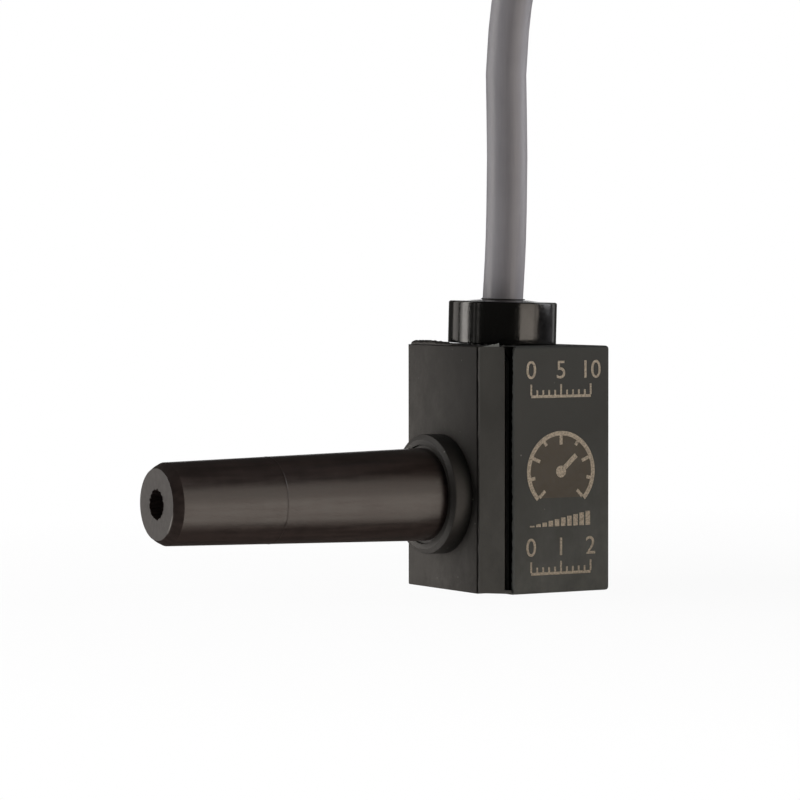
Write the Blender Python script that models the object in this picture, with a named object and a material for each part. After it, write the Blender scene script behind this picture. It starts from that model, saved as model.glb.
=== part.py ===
"""Pressure sensor with a push-in sleeve and a moulded-on cable.

The origin is on the sleeve's axis, in the front face of its collar, where a
push-in fitting stops. X runs along the sleeve into the housing, Z runs up
along the cable exit, and the marked face looks towards -Y.
"""

import math

import bmesh
import bpy
from mathutils import Matrix, Vector

# Sleeve and collar
SLEEVE_LENGTH = 0.02115
SLEEVE_TIP_DIAMETER = 0.0057
SLEEVE_ROOT_DIAMETER = 0.00658
SLEEVE_LEAD_LENGTH = 0.00066
SLEEVE_LEAD_DEPTH = 0.00035
SLEEVE_FLASH_FROM_TIP = 0.0089
SLEEVE_FLASH_HEIGHT = 0.00003
SLEEVE_FLASH_WIDTH = 0.00012
BORE_DIAMETER = 0.0021
BORE_DRAFT = 0.00008
COLLAR_DIAMETER = 0.0085
COLLAR_THICKNESS = 0.0016
COLLAR_EDGE_RADIUS = 0.00028
COLLAR_GROOVE_WIDTH = 0.00022
COLLAR_GROOVE_DEPTH = 0.00018

# Housing block
BLOCK_WIDTH = 0.00974
BLOCK_DEPTH = 0.01338
BLOCK_HEIGHT = 0.01735
AXIS_ABOVE_BASE = 0.00679
AXIS_OFF_CENTRE = 0.00029
CORNER_LENGTH = 0.0017
CORNER_SETBACK = 0.0019
PLATE_THICKNESS = 0.0011
PLATE_EDGE_RADIUS = 0.00008
SEAM_GAP = 0.00014
PLATE_SEAM = 0.0003
SLOT_WIDTH = 0.00047
SLOT_DEPTH = 0.00148
SLOT_SILL = 0.00032
SHELL_WALL = 0.0009
SHELL_EDGE_RADIUS = 0.00024
SLOT_CHIP = 0.00022

# Carrier behind the port plate
CARRIER_LIFT = 0.00007
SLIDE_GAP = 0.0001
FLANGE_SHARE = 0.115
CARRIER_BLOCK_HEIGHT = 0.01264
CARRIER_RIM = 0.0011
CARRIER_POCKET_SHARE = 0.29
CARRIER_STEP = 0.0003

# Pressure cell
SEAL_SEAT_DEPTH = 0.0005
SEAL_SECTION = 0.0007
SEAL_MEAN_DIAMETER = 0.0034
HEADER_DIAMETER = 0.0054
HEADER_THICKNESS = 0.001
HEADER_HOLE = 0.0009
CELL_GAP = 0.0001
DIE_SIZE = 0.0017
DIE_THICKNESS = 0.00035
COVER_DIAMETER = 0.0040
COVER_SHARE = 0.65
COVER_WALL = 0.00025
PIN_DIAMETER = 0.00032
PIN_COUNT = 4
PIN_CIRCLE = 0.0047

# Circuit board and what is soldered on it
BOARD_THICKNESS = 0.0006
BOARD_PAST_EXIT = 0.00015
BOARD_MARGIN = 0.0005
BOARD_TOP_MARGIN = 0.0003
CHIP_SIZE = 0.0040
CHIP_THICKNESS = 0.00085
CHIP_DROP = 0.0012
CAPACITOR_LENGTH = 0.0016
CAPACITOR_WIDTH = 0.0008
CAPACITOR_SPACING = 0.0022
CAPACITOR_DROP = 0.0016
JOINT_DIAMETER = 0.0009
JOINT_DROP = 0.0011

# Cable exit
GLAND_MARGIN = 0.00099
GLAND_HEIGHT = 0.00306
GLAND_EDGE_RADIUS = 0.00016
GLAND_SHOULDER = 0.00136
GLAND_SHIFT = 0.00011
GLAND_SEAT_GAP = 0.00004
CABLE_DIAMETER = 0.0029
CABLE_GRIP_GAP = 0.00004
SEAL_LIP_WALL = 0.00011
SEAL_LIP_HEIGHT = 0.00028
SEAL_LIP_SEAT = 0.0009
CLAMP_WALL = 0.00035
CLAMP_HEIGHT = 0.0013
CLAMP_BELOW_NECK = 0.0006
JACKET_BELOW_CLAMP = 0.0002
CORE_DIAMETER = 0.0008
CORE_SPACING = 0.00092

# Resin bead on the top edge of the port plate, at the back
BEAD_X = 0.00212
BEAD_WIDTH = 0.00082
BEAD_START_Y = -0.0012
BEAD_END_Y = 0.0044
BEAD_HEIGHT = 0.00030
BEAD_EDGE_HEIGHT = 0.0001
BEAD_RIPPLE = 0.12
BEAD_RIPPLE_TURNS = 3
BEAD_PEAK_SKEW = 1.1
BEAD_STATIONS = 16
BEAD_SEAT_GAP = 0.00003

# Free cable, 3 m in all
CABLE_START_GAP = 0.0003
CABLE_ROUTE = (
    (0.00676, -0.00046, 0.0181), (0.00683, -0.00053, 0.0240), (0.00691, -0.00061, 0.0330),
    (0.00774, -0.00142, 0.0383), (0.01003, -0.00365, 0.0426), (0.01343, -0.00696, 0.0451),
    (0.01726, -0.01070, 0.0454), (0.02082, -0.01417, 0.0433), (0.02354, -0.01682, 0.0395),
    (0.02543, -0.01865, 0.0348), (0.02686, -0.02005, 0.0298), (0.02838, -0.02153, 0.0248),
    (0.03047, -0.02356, 0.0202), (0.03345, -0.02647, 0.0168), (0.03716, -0.03008, 0.0154),
)
CABLE_POINT_SPACING = 0.0065
COIL_CENTRE = (0.05056, -0.01633)
COIL_MEAN_RADIUS = 0.0163
COIL_COLUMNS = 4
COIL_LAYERS = 8
COIL_EDGE_RADIUS = 0.0013
TAIL_ANGLE = -65
TAIL_START = -0.0015
TAIL_LENGTH = 0.0085
CORE_END_DIAMETER = 0.0009
CORE_END_LENGTH = 0.0044
CORE_END_SPREAD = 0.00112
WIRE_END_DIAMETER = 0.00048
WIRE_END_LENGTH = 0.0018

TURNED_STEPS = 64
SMALL_TURNED_STEPS = 32
ARC_STEPS = 5
WELD = 1e-7

# Levels and planes that several pieces share
BASE_Z = -AXIS_ABOVE_BASE
TOP_Z = BASE_Z + BLOCK_HEIGHT
MID_Y = -AXIS_OFF_CENTRE
FRONT_Y = MID_Y - BLOCK_DEPTH / 2
PLATE_X = COLLAR_THICKNESS
PLATE_BACK_X = PLATE_X + PLATE_THICKNESS
SHELL_X = PLATE_X + CORNER_LENGTH
SHELL_END_X = PLATE_X + BLOCK_WIDTH
CARRIER_X = PLATE_BACK_X + SLIDE_GAP
FLANGE_DEPTH = BLOCK_WIDTH * FLANGE_SHARE
PLATE_HALF = BLOCK_DEPTH / 2 - CORNER_SETBACK
CAVITY_HALF = BLOCK_DEPTH / 2 - SHELL_WALL
CAVITY_BASE_Z = BASE_Z + SHELL_WALL
CAVITY_TOP_Z = TOP_Z - SHELL_WALL
HEADER_X = PLATE_BACK_X - SEAL_SEAT_DEPTH + SEAL_SECTION + 2 * CELL_GAP
HEADER_BACK_X = HEADER_X + HEADER_THICKNESS
GLAND_X = PLATE_X + BLOCK_WIDTH / 2 + GLAND_SHIFT
GLAND_RADIUS = BLOCK_WIDTH / 2 - GLAND_MARGIN
NECK_RADIUS = GLAND_RADIUS - GLAND_SHOULDER
BOARD_BACK_X = GLAND_X + BOARD_PAST_EXIT
BOARD_X = BOARD_BACK_X - BOARD_THICKNESS
CARRIER_BACK_X = BOARD_X - SLIDE_GAP
CARRIER_POCKET_DEPTH = (CARRIER_BACK_X - CARRIER_X) * CARRIER_POCKET_SHARE
CARRIER_BLOCK_TOP_Z = CAVITY_BASE_Z + SLIDE_GAP + CARRIER_BLOCK_HEIGHT
BOARD_TOP_Z = CARRIER_BLOCK_TOP_Z - BOARD_TOP_MARGIN
GLAND_TOP_Z = TOP_Z + GLAND_SEAT_GAP + GLAND_HEIGHT
NECK_BASE_Z = CAVITY_TOP_Z
LIP_TOP_Z = GLAND_TOP_Z + SEAL_LIP_HEIGHT
CLAMP_TOP_Z = NECK_BASE_Z - CLAMP_BELOW_NECK
JACKET_END_Z = CLAMP_TOP_Z - CLAMP_HEIGHT - JACKET_BELOW_CLAMP


def clear_scene():
    for item in list(bpy.data.objects):
        bpy.data.objects.remove(item, do_unlink=True)


def make_material(name, colour, roughness, metallic=0.0):
    material = bpy.data.materials.new(name)
    material.use_nodes = True
    shader = material.node_tree.nodes["Principled BSDF"]
    shader.inputs["Base Color"].default_value = (*colour, 1.0)
    shader.inputs["Roughness"].default_value = roughness
    shader.inputs["Metallic"].default_value = metallic
    return material


def finish_mesh(name, bm, material, parent, smooth=True):
    """Turn a bmesh into a named object with its own material."""
    bmesh.ops.remove_doubles(bm, verts=bm.verts, dist=WELD)
    bmesh.ops.recalc_face_normals(bm, faces=bm.faces)
    mesh = bpy.data.meshes.new(name)
    bm.to_mesh(mesh)
    bm.free()
    if smooth:
        mesh.shade_smooth()
        mesh.set_sharp_from_angle(angle=math.radians(32))
    item = bpy.data.objects.new(name, mesh)
    bpy.context.scene.collection.objects.link(item)
    if material is not None:
        mesh.materials.append(material)
    item.parent = parent
    return item


def arc(centre, radius, start, end, steps=ARC_STEPS):
    """Points of an arc in a profile, angles in degrees."""
    points = []
    for step in range(steps + 1):
        angle = math.radians(start + (end - start) * step / steps)
        points.append((centre[0] + radius * math.cos(angle), centre[1] + radius * math.sin(angle)))
    return points


def turned(name, profile, material, parent, steps=TURNED_STEPS, closed=False):
    """Revolve a (radius, height) profile round its local Z."""
    bm = bmesh.new()
    verts = [bm.verts.new((radius, 0.0, height)) for radius, height in profile]
    edges = [bm.edges.new(pair) for pair in zip(verts, verts[1:])]
    if closed:
        edges.append(bm.edges.new((verts[-1], verts[0])))
    bmesh.ops.spin(
        bm, geom=verts + edges, cent=(0, 0, 0), axis=(0, 0, 1), dvec=(0, 0, 0),
        angle=2 * math.pi, steps=steps, use_merge=True,
    )
    return finish_mesh(name, bm, material, parent)


def extruded(name, outline, low, high, material, parent):
    """Raise an (x, y) outline from one level to another."""
    bm = bmesh.new()
    base = bm.faces.new([bm.verts.new((x, y, low)) for x, y in outline])
    raised = bmesh.ops.extrude_face_region(bm, geom=[base])
    top = [vert for vert in raised["geom"] if isinstance(vert, bmesh.types.BMVert)]
    bmesh.ops.translate(bm, verts=top, vec=(0, 0, high - low))
    return finish_mesh(name, bm, material, parent, smooth=False)


def box(name, low, high, material, parent, radius=0.0, rounded=None, segments=3):
    """A box between two corners, with the edges that rounded() picks rounded off."""
    size = Vector(high) - Vector(low)
    middle = (Vector(high) + Vector(low)) / 2
    bm = bmesh.new()
    bmesh.ops.create_cube(bm, size=1.0, matrix=Matrix.Diagonal((*size, 1.0)))
    if radius > 0:
        edges = [edge for edge in bm.edges if rounded is None or rounded(edge)]
        bmesh.ops.bevel(
            bm, geom=edges, offset=radius, segments=segments, profile=0.5, affect="EDGES", clamp_overlap=True
        )
    item = finish_mesh(name, bm, material, parent)
    item.location = middle
    return item


def combine(target, tool, operation):
    """Join or cut with a tool that stays in the file as a wire guide."""
    tool.hide_render = True
    tool.display_type = "WIRE"
    tool.parent = target.parent
    step = target.modifiers.new(f"{operation.lower()} {tool.name}", "BOOLEAN")
    step.operation = operation
    step.solver = "EXACT"
    step.object = tool


def cable_length(name, points, diameter, material, parent):
    """A round flexible length with closed ends through the given points."""
    curve = bpy.data.curves.new(name, "CURVE")
    curve.dimensions = "3D"
    curve.bevel_depth = diameter / 2
    curve.bevel_resolution = 2
    curve.use_fill_caps = True
    spline = curve.splines.new("POLY")
    spline.points.add(len(points) - 1)
    for slot, point in zip(spline.points, points):
        slot.co = (*point, 1.0)
    curve.materials.append(material)
    item = bpy.data.objects.new(name, curve)
    bpy.context.scene.collection.objects.link(item)
    item.parent = parent
    return item


def smooth_route(route, spacing):
    """Even points along a centripetal curve through the route's points."""
    knots = [Vector(point) for point in route]
    padded = [2 * knots[0] - knots[1], *knots, 2 * knots[-1] - knots[-2]]
    fine = []
    for before, start, end, after in zip(padded, padded[1:], padded[2:], padded[3:]):
        steps = 24
        for step in range(steps):
            fine.append(centripetal(before, start, end, after, step / steps))
    fine.append(knots[-1])
    total = sum((b - a).length for a, b in zip(fine, fine[1:]))
    count = max(2, round(total / spacing))
    gap = total / count
    even = [fine[0]]
    walked = 0.0
    for start, end in zip(fine, fine[1:]):
        run = (end - start).length
        while walked + run >= gap * len(even) and len(even) < count:
            even.append(start.lerp(end, (gap * len(even) - walked) / run))
        walked += run
    even.append(fine[-1])
    return even


def centripetal(before, start, end, after, share):
    """A point between start and end on a centripetal Catmull-Rom curve."""
    t0 = 0.0
    t1 = t0 + (start - before).length ** 0.5
    t2 = t1 + (end - start).length ** 0.5
    t3 = t2 + (after - end).length ** 0.5
    t = t1 + (t2 - t1) * share
    a1 = before * ((t1 - t) / (t1 - t0)) + start * ((t - t0) / (t1 - t0))
    a2 = start * ((t2 - t) / (t2 - t1)) + end * ((t - t1) / (t2 - t1))
    a3 = end * ((t3 - t) / (t3 - t2)) + after * ((t - t2) / (t3 - t2))
    b1 = a1 * ((t2 - t) / (t2 - t0)) + a2 * ((t - t0) / (t2 - t0))
    b2 = a2 * ((t3 - t) / (t3 - t1)) + a3 * ((t - t1) / (t3 - t1))
    return b1 * ((t2 - t) / (t2 - t1)) + b2 * ((t - t1) / (t2 - t1))


def build_port(materials, root):
    """Port plate, collar and sleeve: one moulding with a drafted bore."""
    plate = box(
        "port_body",
        (PLATE_X, MID_Y - PLATE_HALF + PLATE_SEAM, BASE_Z),
        (PLATE_BACK_X, MID_Y + PLATE_HALF - PLATE_SEAM, TOP_Z),
        materials["housing"], root, PLATE_EDGE_RADIUS,
        lambda edge: all(vert.co.x < 0 for vert in edge.verts),
    )
    tip = -SLEEVE_LENGTH
    flash = tip + SLEEVE_FLASH_FROM_TIP
    tip_radius = SLEEVE_TIP_DIAMETER / 2
    root_radius = SLEEVE_ROOT_DIAMETER / 2
    collar_radius = COLLAR_DIAMETER / 2

    def radius_at(height):
        return tip_radius + (root_radius - tip_radius) * (height - tip) / SLEEVE_LENGTH

    half = SLEEVE_FLASH_WIDTH / 2
    profile = [
        (0.0, tip),
        (tip_radius - SLEEVE_LEAD_DEPTH, tip),
        (radius_at(tip + SLEEVE_LEAD_LENGTH), tip + SLEEVE_LEAD_LENGTH),
        (radius_at(flash - half), flash - half),
        (radius_at(flash) + SLEEVE_FLASH_HEIGHT, flash),
        (radius_at(flash + half), flash + half),
        (radius_at(0.0), 0.0),
        (radius_at(0.0), COLLAR_GROOVE_DEPTH),
        (radius_at(0.0) + COLLAR_GROOVE_WIDTH, COLLAR_GROOVE_DEPTH),
        (radius_at(0.0) + COLLAR_GROOVE_WIDTH, 0.0),
    ]
    profile += arc((collar_radius - COLLAR_EDGE_RADIUS, COLLAR_EDGE_RADIUS), COLLAR_EDGE_RADIUS, -90, 0)
    profile += [(collar_radius, PLATE_X + PLATE_THICKNESS / 2), (0.0, PLATE_X + PLATE_THICKNESS / 2)]
    sleeve = turned("sleeve_guide", profile, None, root)
    sleeve.rotation_euler = (0, math.radians(90), 0)
    combine(plate, sleeve, "UNION")

    bore_radius = BORE_DIAMETER / 2
    seat_x = PLATE_BACK_X - SEAL_SEAT_DEPTH
    seat_radius = HEADER_DIAMETER / 2 + CELL_GAP
    margin = SLEEVE_LEAD_LENGTH
    bore = turned(
        "bore_guide",
        [
            (0.0, tip - margin), (bore_radius, tip - margin), (bore_radius - BORE_DRAFT, seat_x),
            (seat_radius, seat_x), (seat_radius, PLATE_BACK_X + margin), (0.0, PLATE_BACK_X + margin),
        ],
        None, root, SMALL_TURNED_STEPS,
    )
    bore.rotation_euler = (0, math.radians(90), 0)
    combine(plate, bore, "DIFFERENCE")
    return plate


def build_carrier(materials, root):
    """Carrier: bevelled corner posts with a slot each, a flange in the shell's mouth and the cell's seat."""
    def both_sides(half_outline):
        near = [(x, MID_Y - offset) for x, offset in half_outline]
        far = [(x, MID_Y + offset) for x, offset in half_outline]
        return near + far[::-1]

    inside = CAVITY_HALF - SLIDE_GAP
    front_end = SHELL_X - SEAM_GAP
    low_z = CAVITY_BASE_Z + SLIDE_GAP
    high_z = CAVITY_TOP_Z - SLIDE_GAP
    flange_end = CARRIER_X + FLANGE_DEPTH
    bevel_end = PLATE_HALF + (front_end - PLATE_X) * CORNER_SETBACK / CORNER_LENGTH
    posts = extruded(
        "carrier",
        both_sides([(CARRIER_X, PLATE_HALF), (PLATE_X, PLATE_HALF), (front_end, bevel_end)]),
        BASE_Z + CARRIER_LIFT, TOP_Z, materials["carrier"], root,
    )
    for name, side in (("slot_guide_near", -1), ("slot_guide_far", 1)):
        face_y = MID_Y + side * BLOCK_DEPTH / 2
        slot = box(
            name, (SHELL_X - SLOT_WIDTH, face_y - SLOT_DEPTH, BASE_Z + SLOT_SILL),
            (SHELL_X + SLOT_WIDTH, face_y + SLOT_DEPTH, TOP_Z + SLOT_DEPTH), None, root,
        )
        combine(posts, slot, "DIFFERENCE")
    flange = extruded(
        "flange_guide",
        both_sides([
            ((CARRIER_X + front_end) / 2, PLATE_HALF), (SHELL_X, PLATE_HALF),
            (SHELL_X, inside), (flange_end, inside),
        ]),
        low_z, high_z, None, root,
    )
    combine(posts, flange, "UNION")
    block = box(
        "carrier_block_guide",
        (flange_end - FLANGE_DEPTH / 2, MID_Y - inside + CARRIER_STEP, low_z + CARRIER_STEP),
        (CARRIER_BACK_X, MID_Y + inside - CARRIER_STEP, CARRIER_BLOCK_TOP_Z),
        None, root,
    )
    combine(posts, block, "UNION")
    # The board lies on the rim that this pocket leaves
    pocket = box(
        "carrier_pocket_guide",
        (CARRIER_BACK_X - CARRIER_POCKET_DEPTH, MID_Y - inside + CARRIER_RIM, low_z + CARRIER_RIM),
        (CARRIER_BACK_X + CARRIER_RIM, MID_Y + inside - CARRIER_RIM, CARRIER_BLOCK_TOP_Z - CARRIER_RIM),
        None, root, CARRIER_POCKET_DEPTH / 2,
        lambda edge: abs(edge.verts[0].co.x - edge.verts[1].co.x) > CARRIER_POCKET_DEPTH,
    )
    combine(posts, pocket, "DIFFERENCE")
    seat_radius = HEADER_DIAMETER / 2 + CELL_GAP
    hole_radius = PIN_CIRCLE / 2 + PIN_DIAMETER
    seat = turned(
        "cell_seat_guide",
        [
            (0.0, CARRIER_X - CARRIER_RIM), (seat_radius, CARRIER_X - CARRIER_RIM),
            (seat_radius, HEADER_BACK_X + CELL_GAP), (hole_radius, HEADER_BACK_X + CELL_GAP),
            (hole_radius, CARRIER_BACK_X + CARRIER_RIM), (0.0, CARRIER_BACK_X + CARRIER_RIM),
        ],
        None, root,
    )
    seat.rotation_euler = (0, math.radians(90), 0)
    combine(posts, seat, "DIFFERENCE")
    return posts


def build_shell(materials, root):
    """Shell: a deep cup that carries the marking, with the hole for the cable exit."""
    shell = box(
        "shell", (SHELL_X, FRONT_Y, BASE_Z), (SHELL_END_X, FRONT_Y + BLOCK_DEPTH, TOP_Z),
        materials["housing"], root, SHELL_EDGE_RADIUS,
        lambda edge: any(vert.co.x > 0 for vert in edge.verts), 4,
    )
    cavity = box(
        "cavity_guide", (SHELL_X - SHELL_WALL, MID_Y - CAVITY_HALF, CAVITY_BASE_Z),
        (SHELL_END_X - SHELL_WALL, MID_Y + CAVITY_HALF, CAVITY_TOP_Z), None, root, SHELL_WALL / 2,
        lambda edge: any(vert.co.x > 0 for vert in edge.verts),
    )
    combine(shell, cavity, "DIFFERENCE")
    hole_radius = NECK_RADIUS + SLIDE_GAP
    neck_hole = turned(
        "neck_hole_guide",
        [
            (0.0, TOP_Z + SHELL_WALL), (hole_radius, TOP_Z + SHELL_WALL),
            (hole_radius, CAVITY_TOP_Z - SHELL_WALL), (0.0, CAVITY_TOP_Z - SHELL_WALL),
        ],
        None, root,
    )
    neck_hole.location = (GLAND_X, MID_Y, 0)
    combine(shell, neck_hole, "DIFFERENCE")
    # The marked wall has a small nick where it meets the slot at the top
    nick = extruded(
        "nick_guide",
        [
            (SHELL_X - SLOT_CHIP, FRONT_Y - SLOT_CHIP), (SHELL_X + SLOT_CHIP, FRONT_Y - SLOT_CHIP),
            (SHELL_X - SLOT_CHIP, FRONT_Y + 2 * SLOT_CHIP),
        ],
        TOP_Z - SLOT_CHIP, TOP_Z + SLOT_CHIP, None, root,
    )
    combine(shell, nick, "DIFFERENCE")
    return shell


def build_bead(materials, root):
    """Resin squeezed out over the port plate's top edge, set in a low uneven bead."""
    length = BEAD_END_Y - BEAD_START_Y
    floor = TOP_Z + BEAD_SEAT_GAP
    bm = bmesh.new()
    rings = []
    for station in range(BEAD_STATIONS + 1):
        share = station / BEAD_STATIONS
        swell = math.sin(math.pi * min(share * BEAD_PEAK_SKEW, 1.0) ** 0.5) if share < 1 else 0.0
        ripple = 1 + BEAD_RIPPLE * math.sin(BEAD_RIPPLE_TURNS * 2 * math.pi * share)
        rise = BEAD_EDGE_HEIGHT + (BEAD_HEIGHT - BEAD_EDGE_HEIGHT) * swell * ripple
        half = BEAD_WIDTH / 2 * (0.8 + 0.2 * swell)
        y = BEAD_END_Y - share * length
        crown = [(x * half, z * rise) for x, z in arc((0.0, 0.0), 1.0, 150, 30, 4)]
        ring = [(-half, 0.0), *crown, (half, 0.0)]
        rings.append([bm.verts.new((BEAD_X + x, y, floor + z)) for x, z in ring])
    for near, far in zip(rings, rings[1:]):
        for index in range(len(near)):
            after = (index + 1) % len(near)
            bm.faces.new((near[index], near[after], far[after], far[index]))
    bm.faces.new(rings[0])
    bm.faces.new(rings[-1][::-1])
    return finish_mesh("resin_bead", bm, materials["resin"], root)


def build_cell(materials, root):
    """Pressure cell: face seal, ceramic header, die, cover and pins."""
    axis_turn = (0, math.radians(90), 0)
    seal_x = HEADER_X - CELL_GAP - SEAL_SECTION / 2
    seal = turned(
        "port_seal",
        arc((SEAL_MEAN_DIAMETER / 2, seal_x), SEAL_SECTION / 2, 0, 337.5, 15),
        materials["rubber"], root, SMALL_TURNED_STEPS, closed=True,
    )
    seal.rotation_euler = axis_turn
    header_radius = HEADER_DIAMETER / 2
    hole = HEADER_HOLE / 2
    header = turned(
        "cell_header",
        [(hole, HEADER_X), (header_radius, HEADER_X), (header_radius, HEADER_BACK_X), (hole, HEADER_BACK_X)],
        materials["ceramic"], root, TURNED_STEPS, closed=True,
    )
    header.rotation_euler = axis_turn
    die_x = HEADER_BACK_X + CELL_GAP / 2
    box(
        "cell_die", (die_x, -DIE_SIZE / 2, -DIE_SIZE / 2),
        (die_x + DIE_THICKNESS, DIE_SIZE / 2, DIE_SIZE / 2), materials["silicon"], root,
    )
    cover_radius = COVER_DIAMETER / 2
    inner = cover_radius - COVER_WALL
    roof = die_x + (BOARD_X - die_x) * COVER_SHARE
    cover = turned(
        "cell_cover",
        [
            (0.0, roof), (cover_radius, roof), (cover_radius, die_x), (inner, die_x),
            (inner, roof - COVER_WALL), (0.0, roof - COVER_WALL),
        ],
        materials["tin"], root, SMALL_TURNED_STEPS,
    )
    cover.rotation_euler = axis_turn
    for index in range(PIN_COUNT):
        angle = math.radians(45 + 360 * index / PIN_COUNT)
        pin = turned(
            f"cell_pin_{index + 1}",
            [
                (0.0, HEADER_BACK_X + CELL_GAP / 2), (PIN_DIAMETER / 2, HEADER_BACK_X + CELL_GAP / 2),
                (PIN_DIAMETER / 2, BOARD_X - CELL_GAP / 2), (0.0, BOARD_X - CELL_GAP / 2),
            ],
            materials["pin"], root, 12,
        )
        pin.location = (0, PIN_CIRCLE / 2 * math.cos(angle), PIN_CIRCLE / 2 * math.sin(angle))
        pin.rotation_euler = axis_turn


def build_board(materials, root):
    """Circuit board on the carrier's rim, with the amplifier, two capacitors and the solder joints."""
    half = CAVITY_HALF - SLIDE_GAP - BOARD_MARGIN
    low_z = CAVITY_BASE_Z + SLIDE_GAP + BOARD_MARGIN
    box(
        "circuit_board", (BOARD_X, MID_Y - half, low_z), (BOARD_BACK_X, MID_Y + half, BOARD_TOP_Z),
        materials["board"], root,
    )
    on_board = BOARD_BACK_X + CELL_GAP / 2
    chip_z = -CHIP_DROP
    box(
        "amplifier_chip", (on_board, MID_Y - CHIP_SIZE / 2, chip_z - CHIP_SIZE / 2),
        (on_board + CHIP_THICKNESS, MID_Y + CHIP_SIZE / 2, chip_z + CHIP_SIZE / 2),
        materials["chip"], root, CHIP_THICKNESS / 10,
        lambda edge: all(vert.co.x > 0 for vert in edge.verts), 1,
    )
    below = chip_z - CHIP_SIZE / 2 - CAPACITOR_DROP / 2
    for index, offset in enumerate((-CAPACITOR_SPACING / 2, CAPACITOR_SPACING / 2)):
        box(
            f"capacitor_{index + 1}",
            (on_board, MID_Y + offset - CAPACITOR_LENGTH / 2, below - CAPACITOR_WIDTH / 2),
            (on_board + CAPACITOR_WIDTH, MID_Y + offset + CAPACITOR_LENGTH / 2, below + CAPACITOR_WIDTH / 2),
            materials["capacitor"], root, CAPACITOR_WIDTH / 10,
        )
    for index in range(3):
        joint = turned(
            f"solder_joint_{index + 1}",
            arc((0.0, 0.0), JOINT_DIAMETER / 2, 0, 90, 4)[::-1] + [(0.0, 0.0)],
            materials["solder"], root, 16,
        )
        joint.location = (on_board, core_y(index), BOARD_TOP_Z - JOINT_DROP)
        joint.rotation_euler = (0, math.radians(90), 0)


def core_y(index):
    return MID_Y + (index - 1) * CORE_SPACING


def build_exit(materials, root):
    """Cable exit: gland ring with its neck, seal lip, clamp ring, jacket end and the three cores."""
    radius = GLAND_RADIUS
    seat = TOP_Z + GLAND_SEAT_GAP
    grip = CABLE_DIAMETER / 2 + CABLE_GRIP_GAP
    lip = grip + SEAL_LIP_WALL
    lip_seat = lip + CABLE_GRIP_GAP
    fillet = GLAND_EDGE_RADIUS
    gland = turned(
        "gland_ring",
        [
            (lip_seat, GLAND_TOP_Z),
            *arc((radius - fillet, GLAND_TOP_Z - fillet), fillet, 90, 0),
            *arc((radius - fillet / 2, seat + fillet / 2), fillet / 2, 0, -90, 3),
            (NECK_RADIUS, seat), (NECK_RADIUS, NECK_BASE_Z), (grip, NECK_BASE_Z),
            (grip, GLAND_TOP_Z - SEAL_LIP_SEAT - CABLE_GRIP_GAP),
            (lip_seat, GLAND_TOP_Z - SEAL_LIP_SEAT - CABLE_GRIP_GAP),
        ],
        materials["gland"], root, 96, closed=True,
    )
    gland.location = (GLAND_X, MID_Y, 0)
    seal = turned(
        "cable_seal",
        [
            (grip, LIP_TOP_Z), (lip - SEAL_LIP_WALL / 3, LIP_TOP_Z), (lip, LIP_TOP_Z - SEAL_LIP_WALL / 2),
            (lip, GLAND_TOP_Z - SEAL_LIP_SEAT), (grip, GLAND_TOP_Z - SEAL_LIP_SEAT),
        ],
        materials["rubber"], root, TURNED_STEPS, closed=True,
    )
    seal.location = (GLAND_X, MID_Y, 0)
    jacket = turned(
        "cable_end",
        [
            (0.0, LIP_TOP_Z), (CABLE_DIAMETER / 2, LIP_TOP_Z),
            (CABLE_DIAMETER / 2, JACKET_END_Z), (0.0, JACKET_END_Z),
        ],
        materials["sheath"], root, SMALL_TURNED_STEPS,
    )
    jacket.location = (GLAND_X, MID_Y, 0)
    clamp_radius = grip + CLAMP_WALL
    clamp = turned(
        "cable_clamp",
        [
            (grip, CLAMP_TOP_Z), (clamp_radius, CLAMP_TOP_Z),
            (clamp_radius, CLAMP_TOP_Z - CLAMP_HEIGHT), (grip, CLAMP_TOP_Z - CLAMP_HEIGHT),
        ],
        materials["clamp"], root, SMALL_TURNED_STEPS, closed=True,
    )
    clamp.location = (GLAND_X, MID_Y, 0)
    joint_top = BOARD_BACK_X + CELL_GAP / 2 + JOINT_DIAMETER / 2
    core_x = joint_top + CORE_DIAMETER / 2 + CELL_GAP
    start_z = JACKET_END_Z - CELL_GAP
    end_z = BOARD_TOP_Z - JOINT_DROP
    for index, colour in enumerate(("brown", "black", "blue")):
        middle_z = (start_z + end_z) / 2
        route = [
            (GLAND_X + CORE_DIAMETER / 4, core_y(index), start_z),
            ((GLAND_X + core_x) / 2, core_y(index), middle_z + CORE_DIAMETER / 4),
            (core_x, core_y(index), middle_z - CORE_DIAMETER / 2),
            (core_x, core_y(index), end_z),
        ]
        cable_length(
            f"inner_core_{colour}", smooth_route(route, CORE_DIAMETER * 0.8), CORE_DIAMETER,
            materials[f"core_{colour}"], root,
        )


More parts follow.
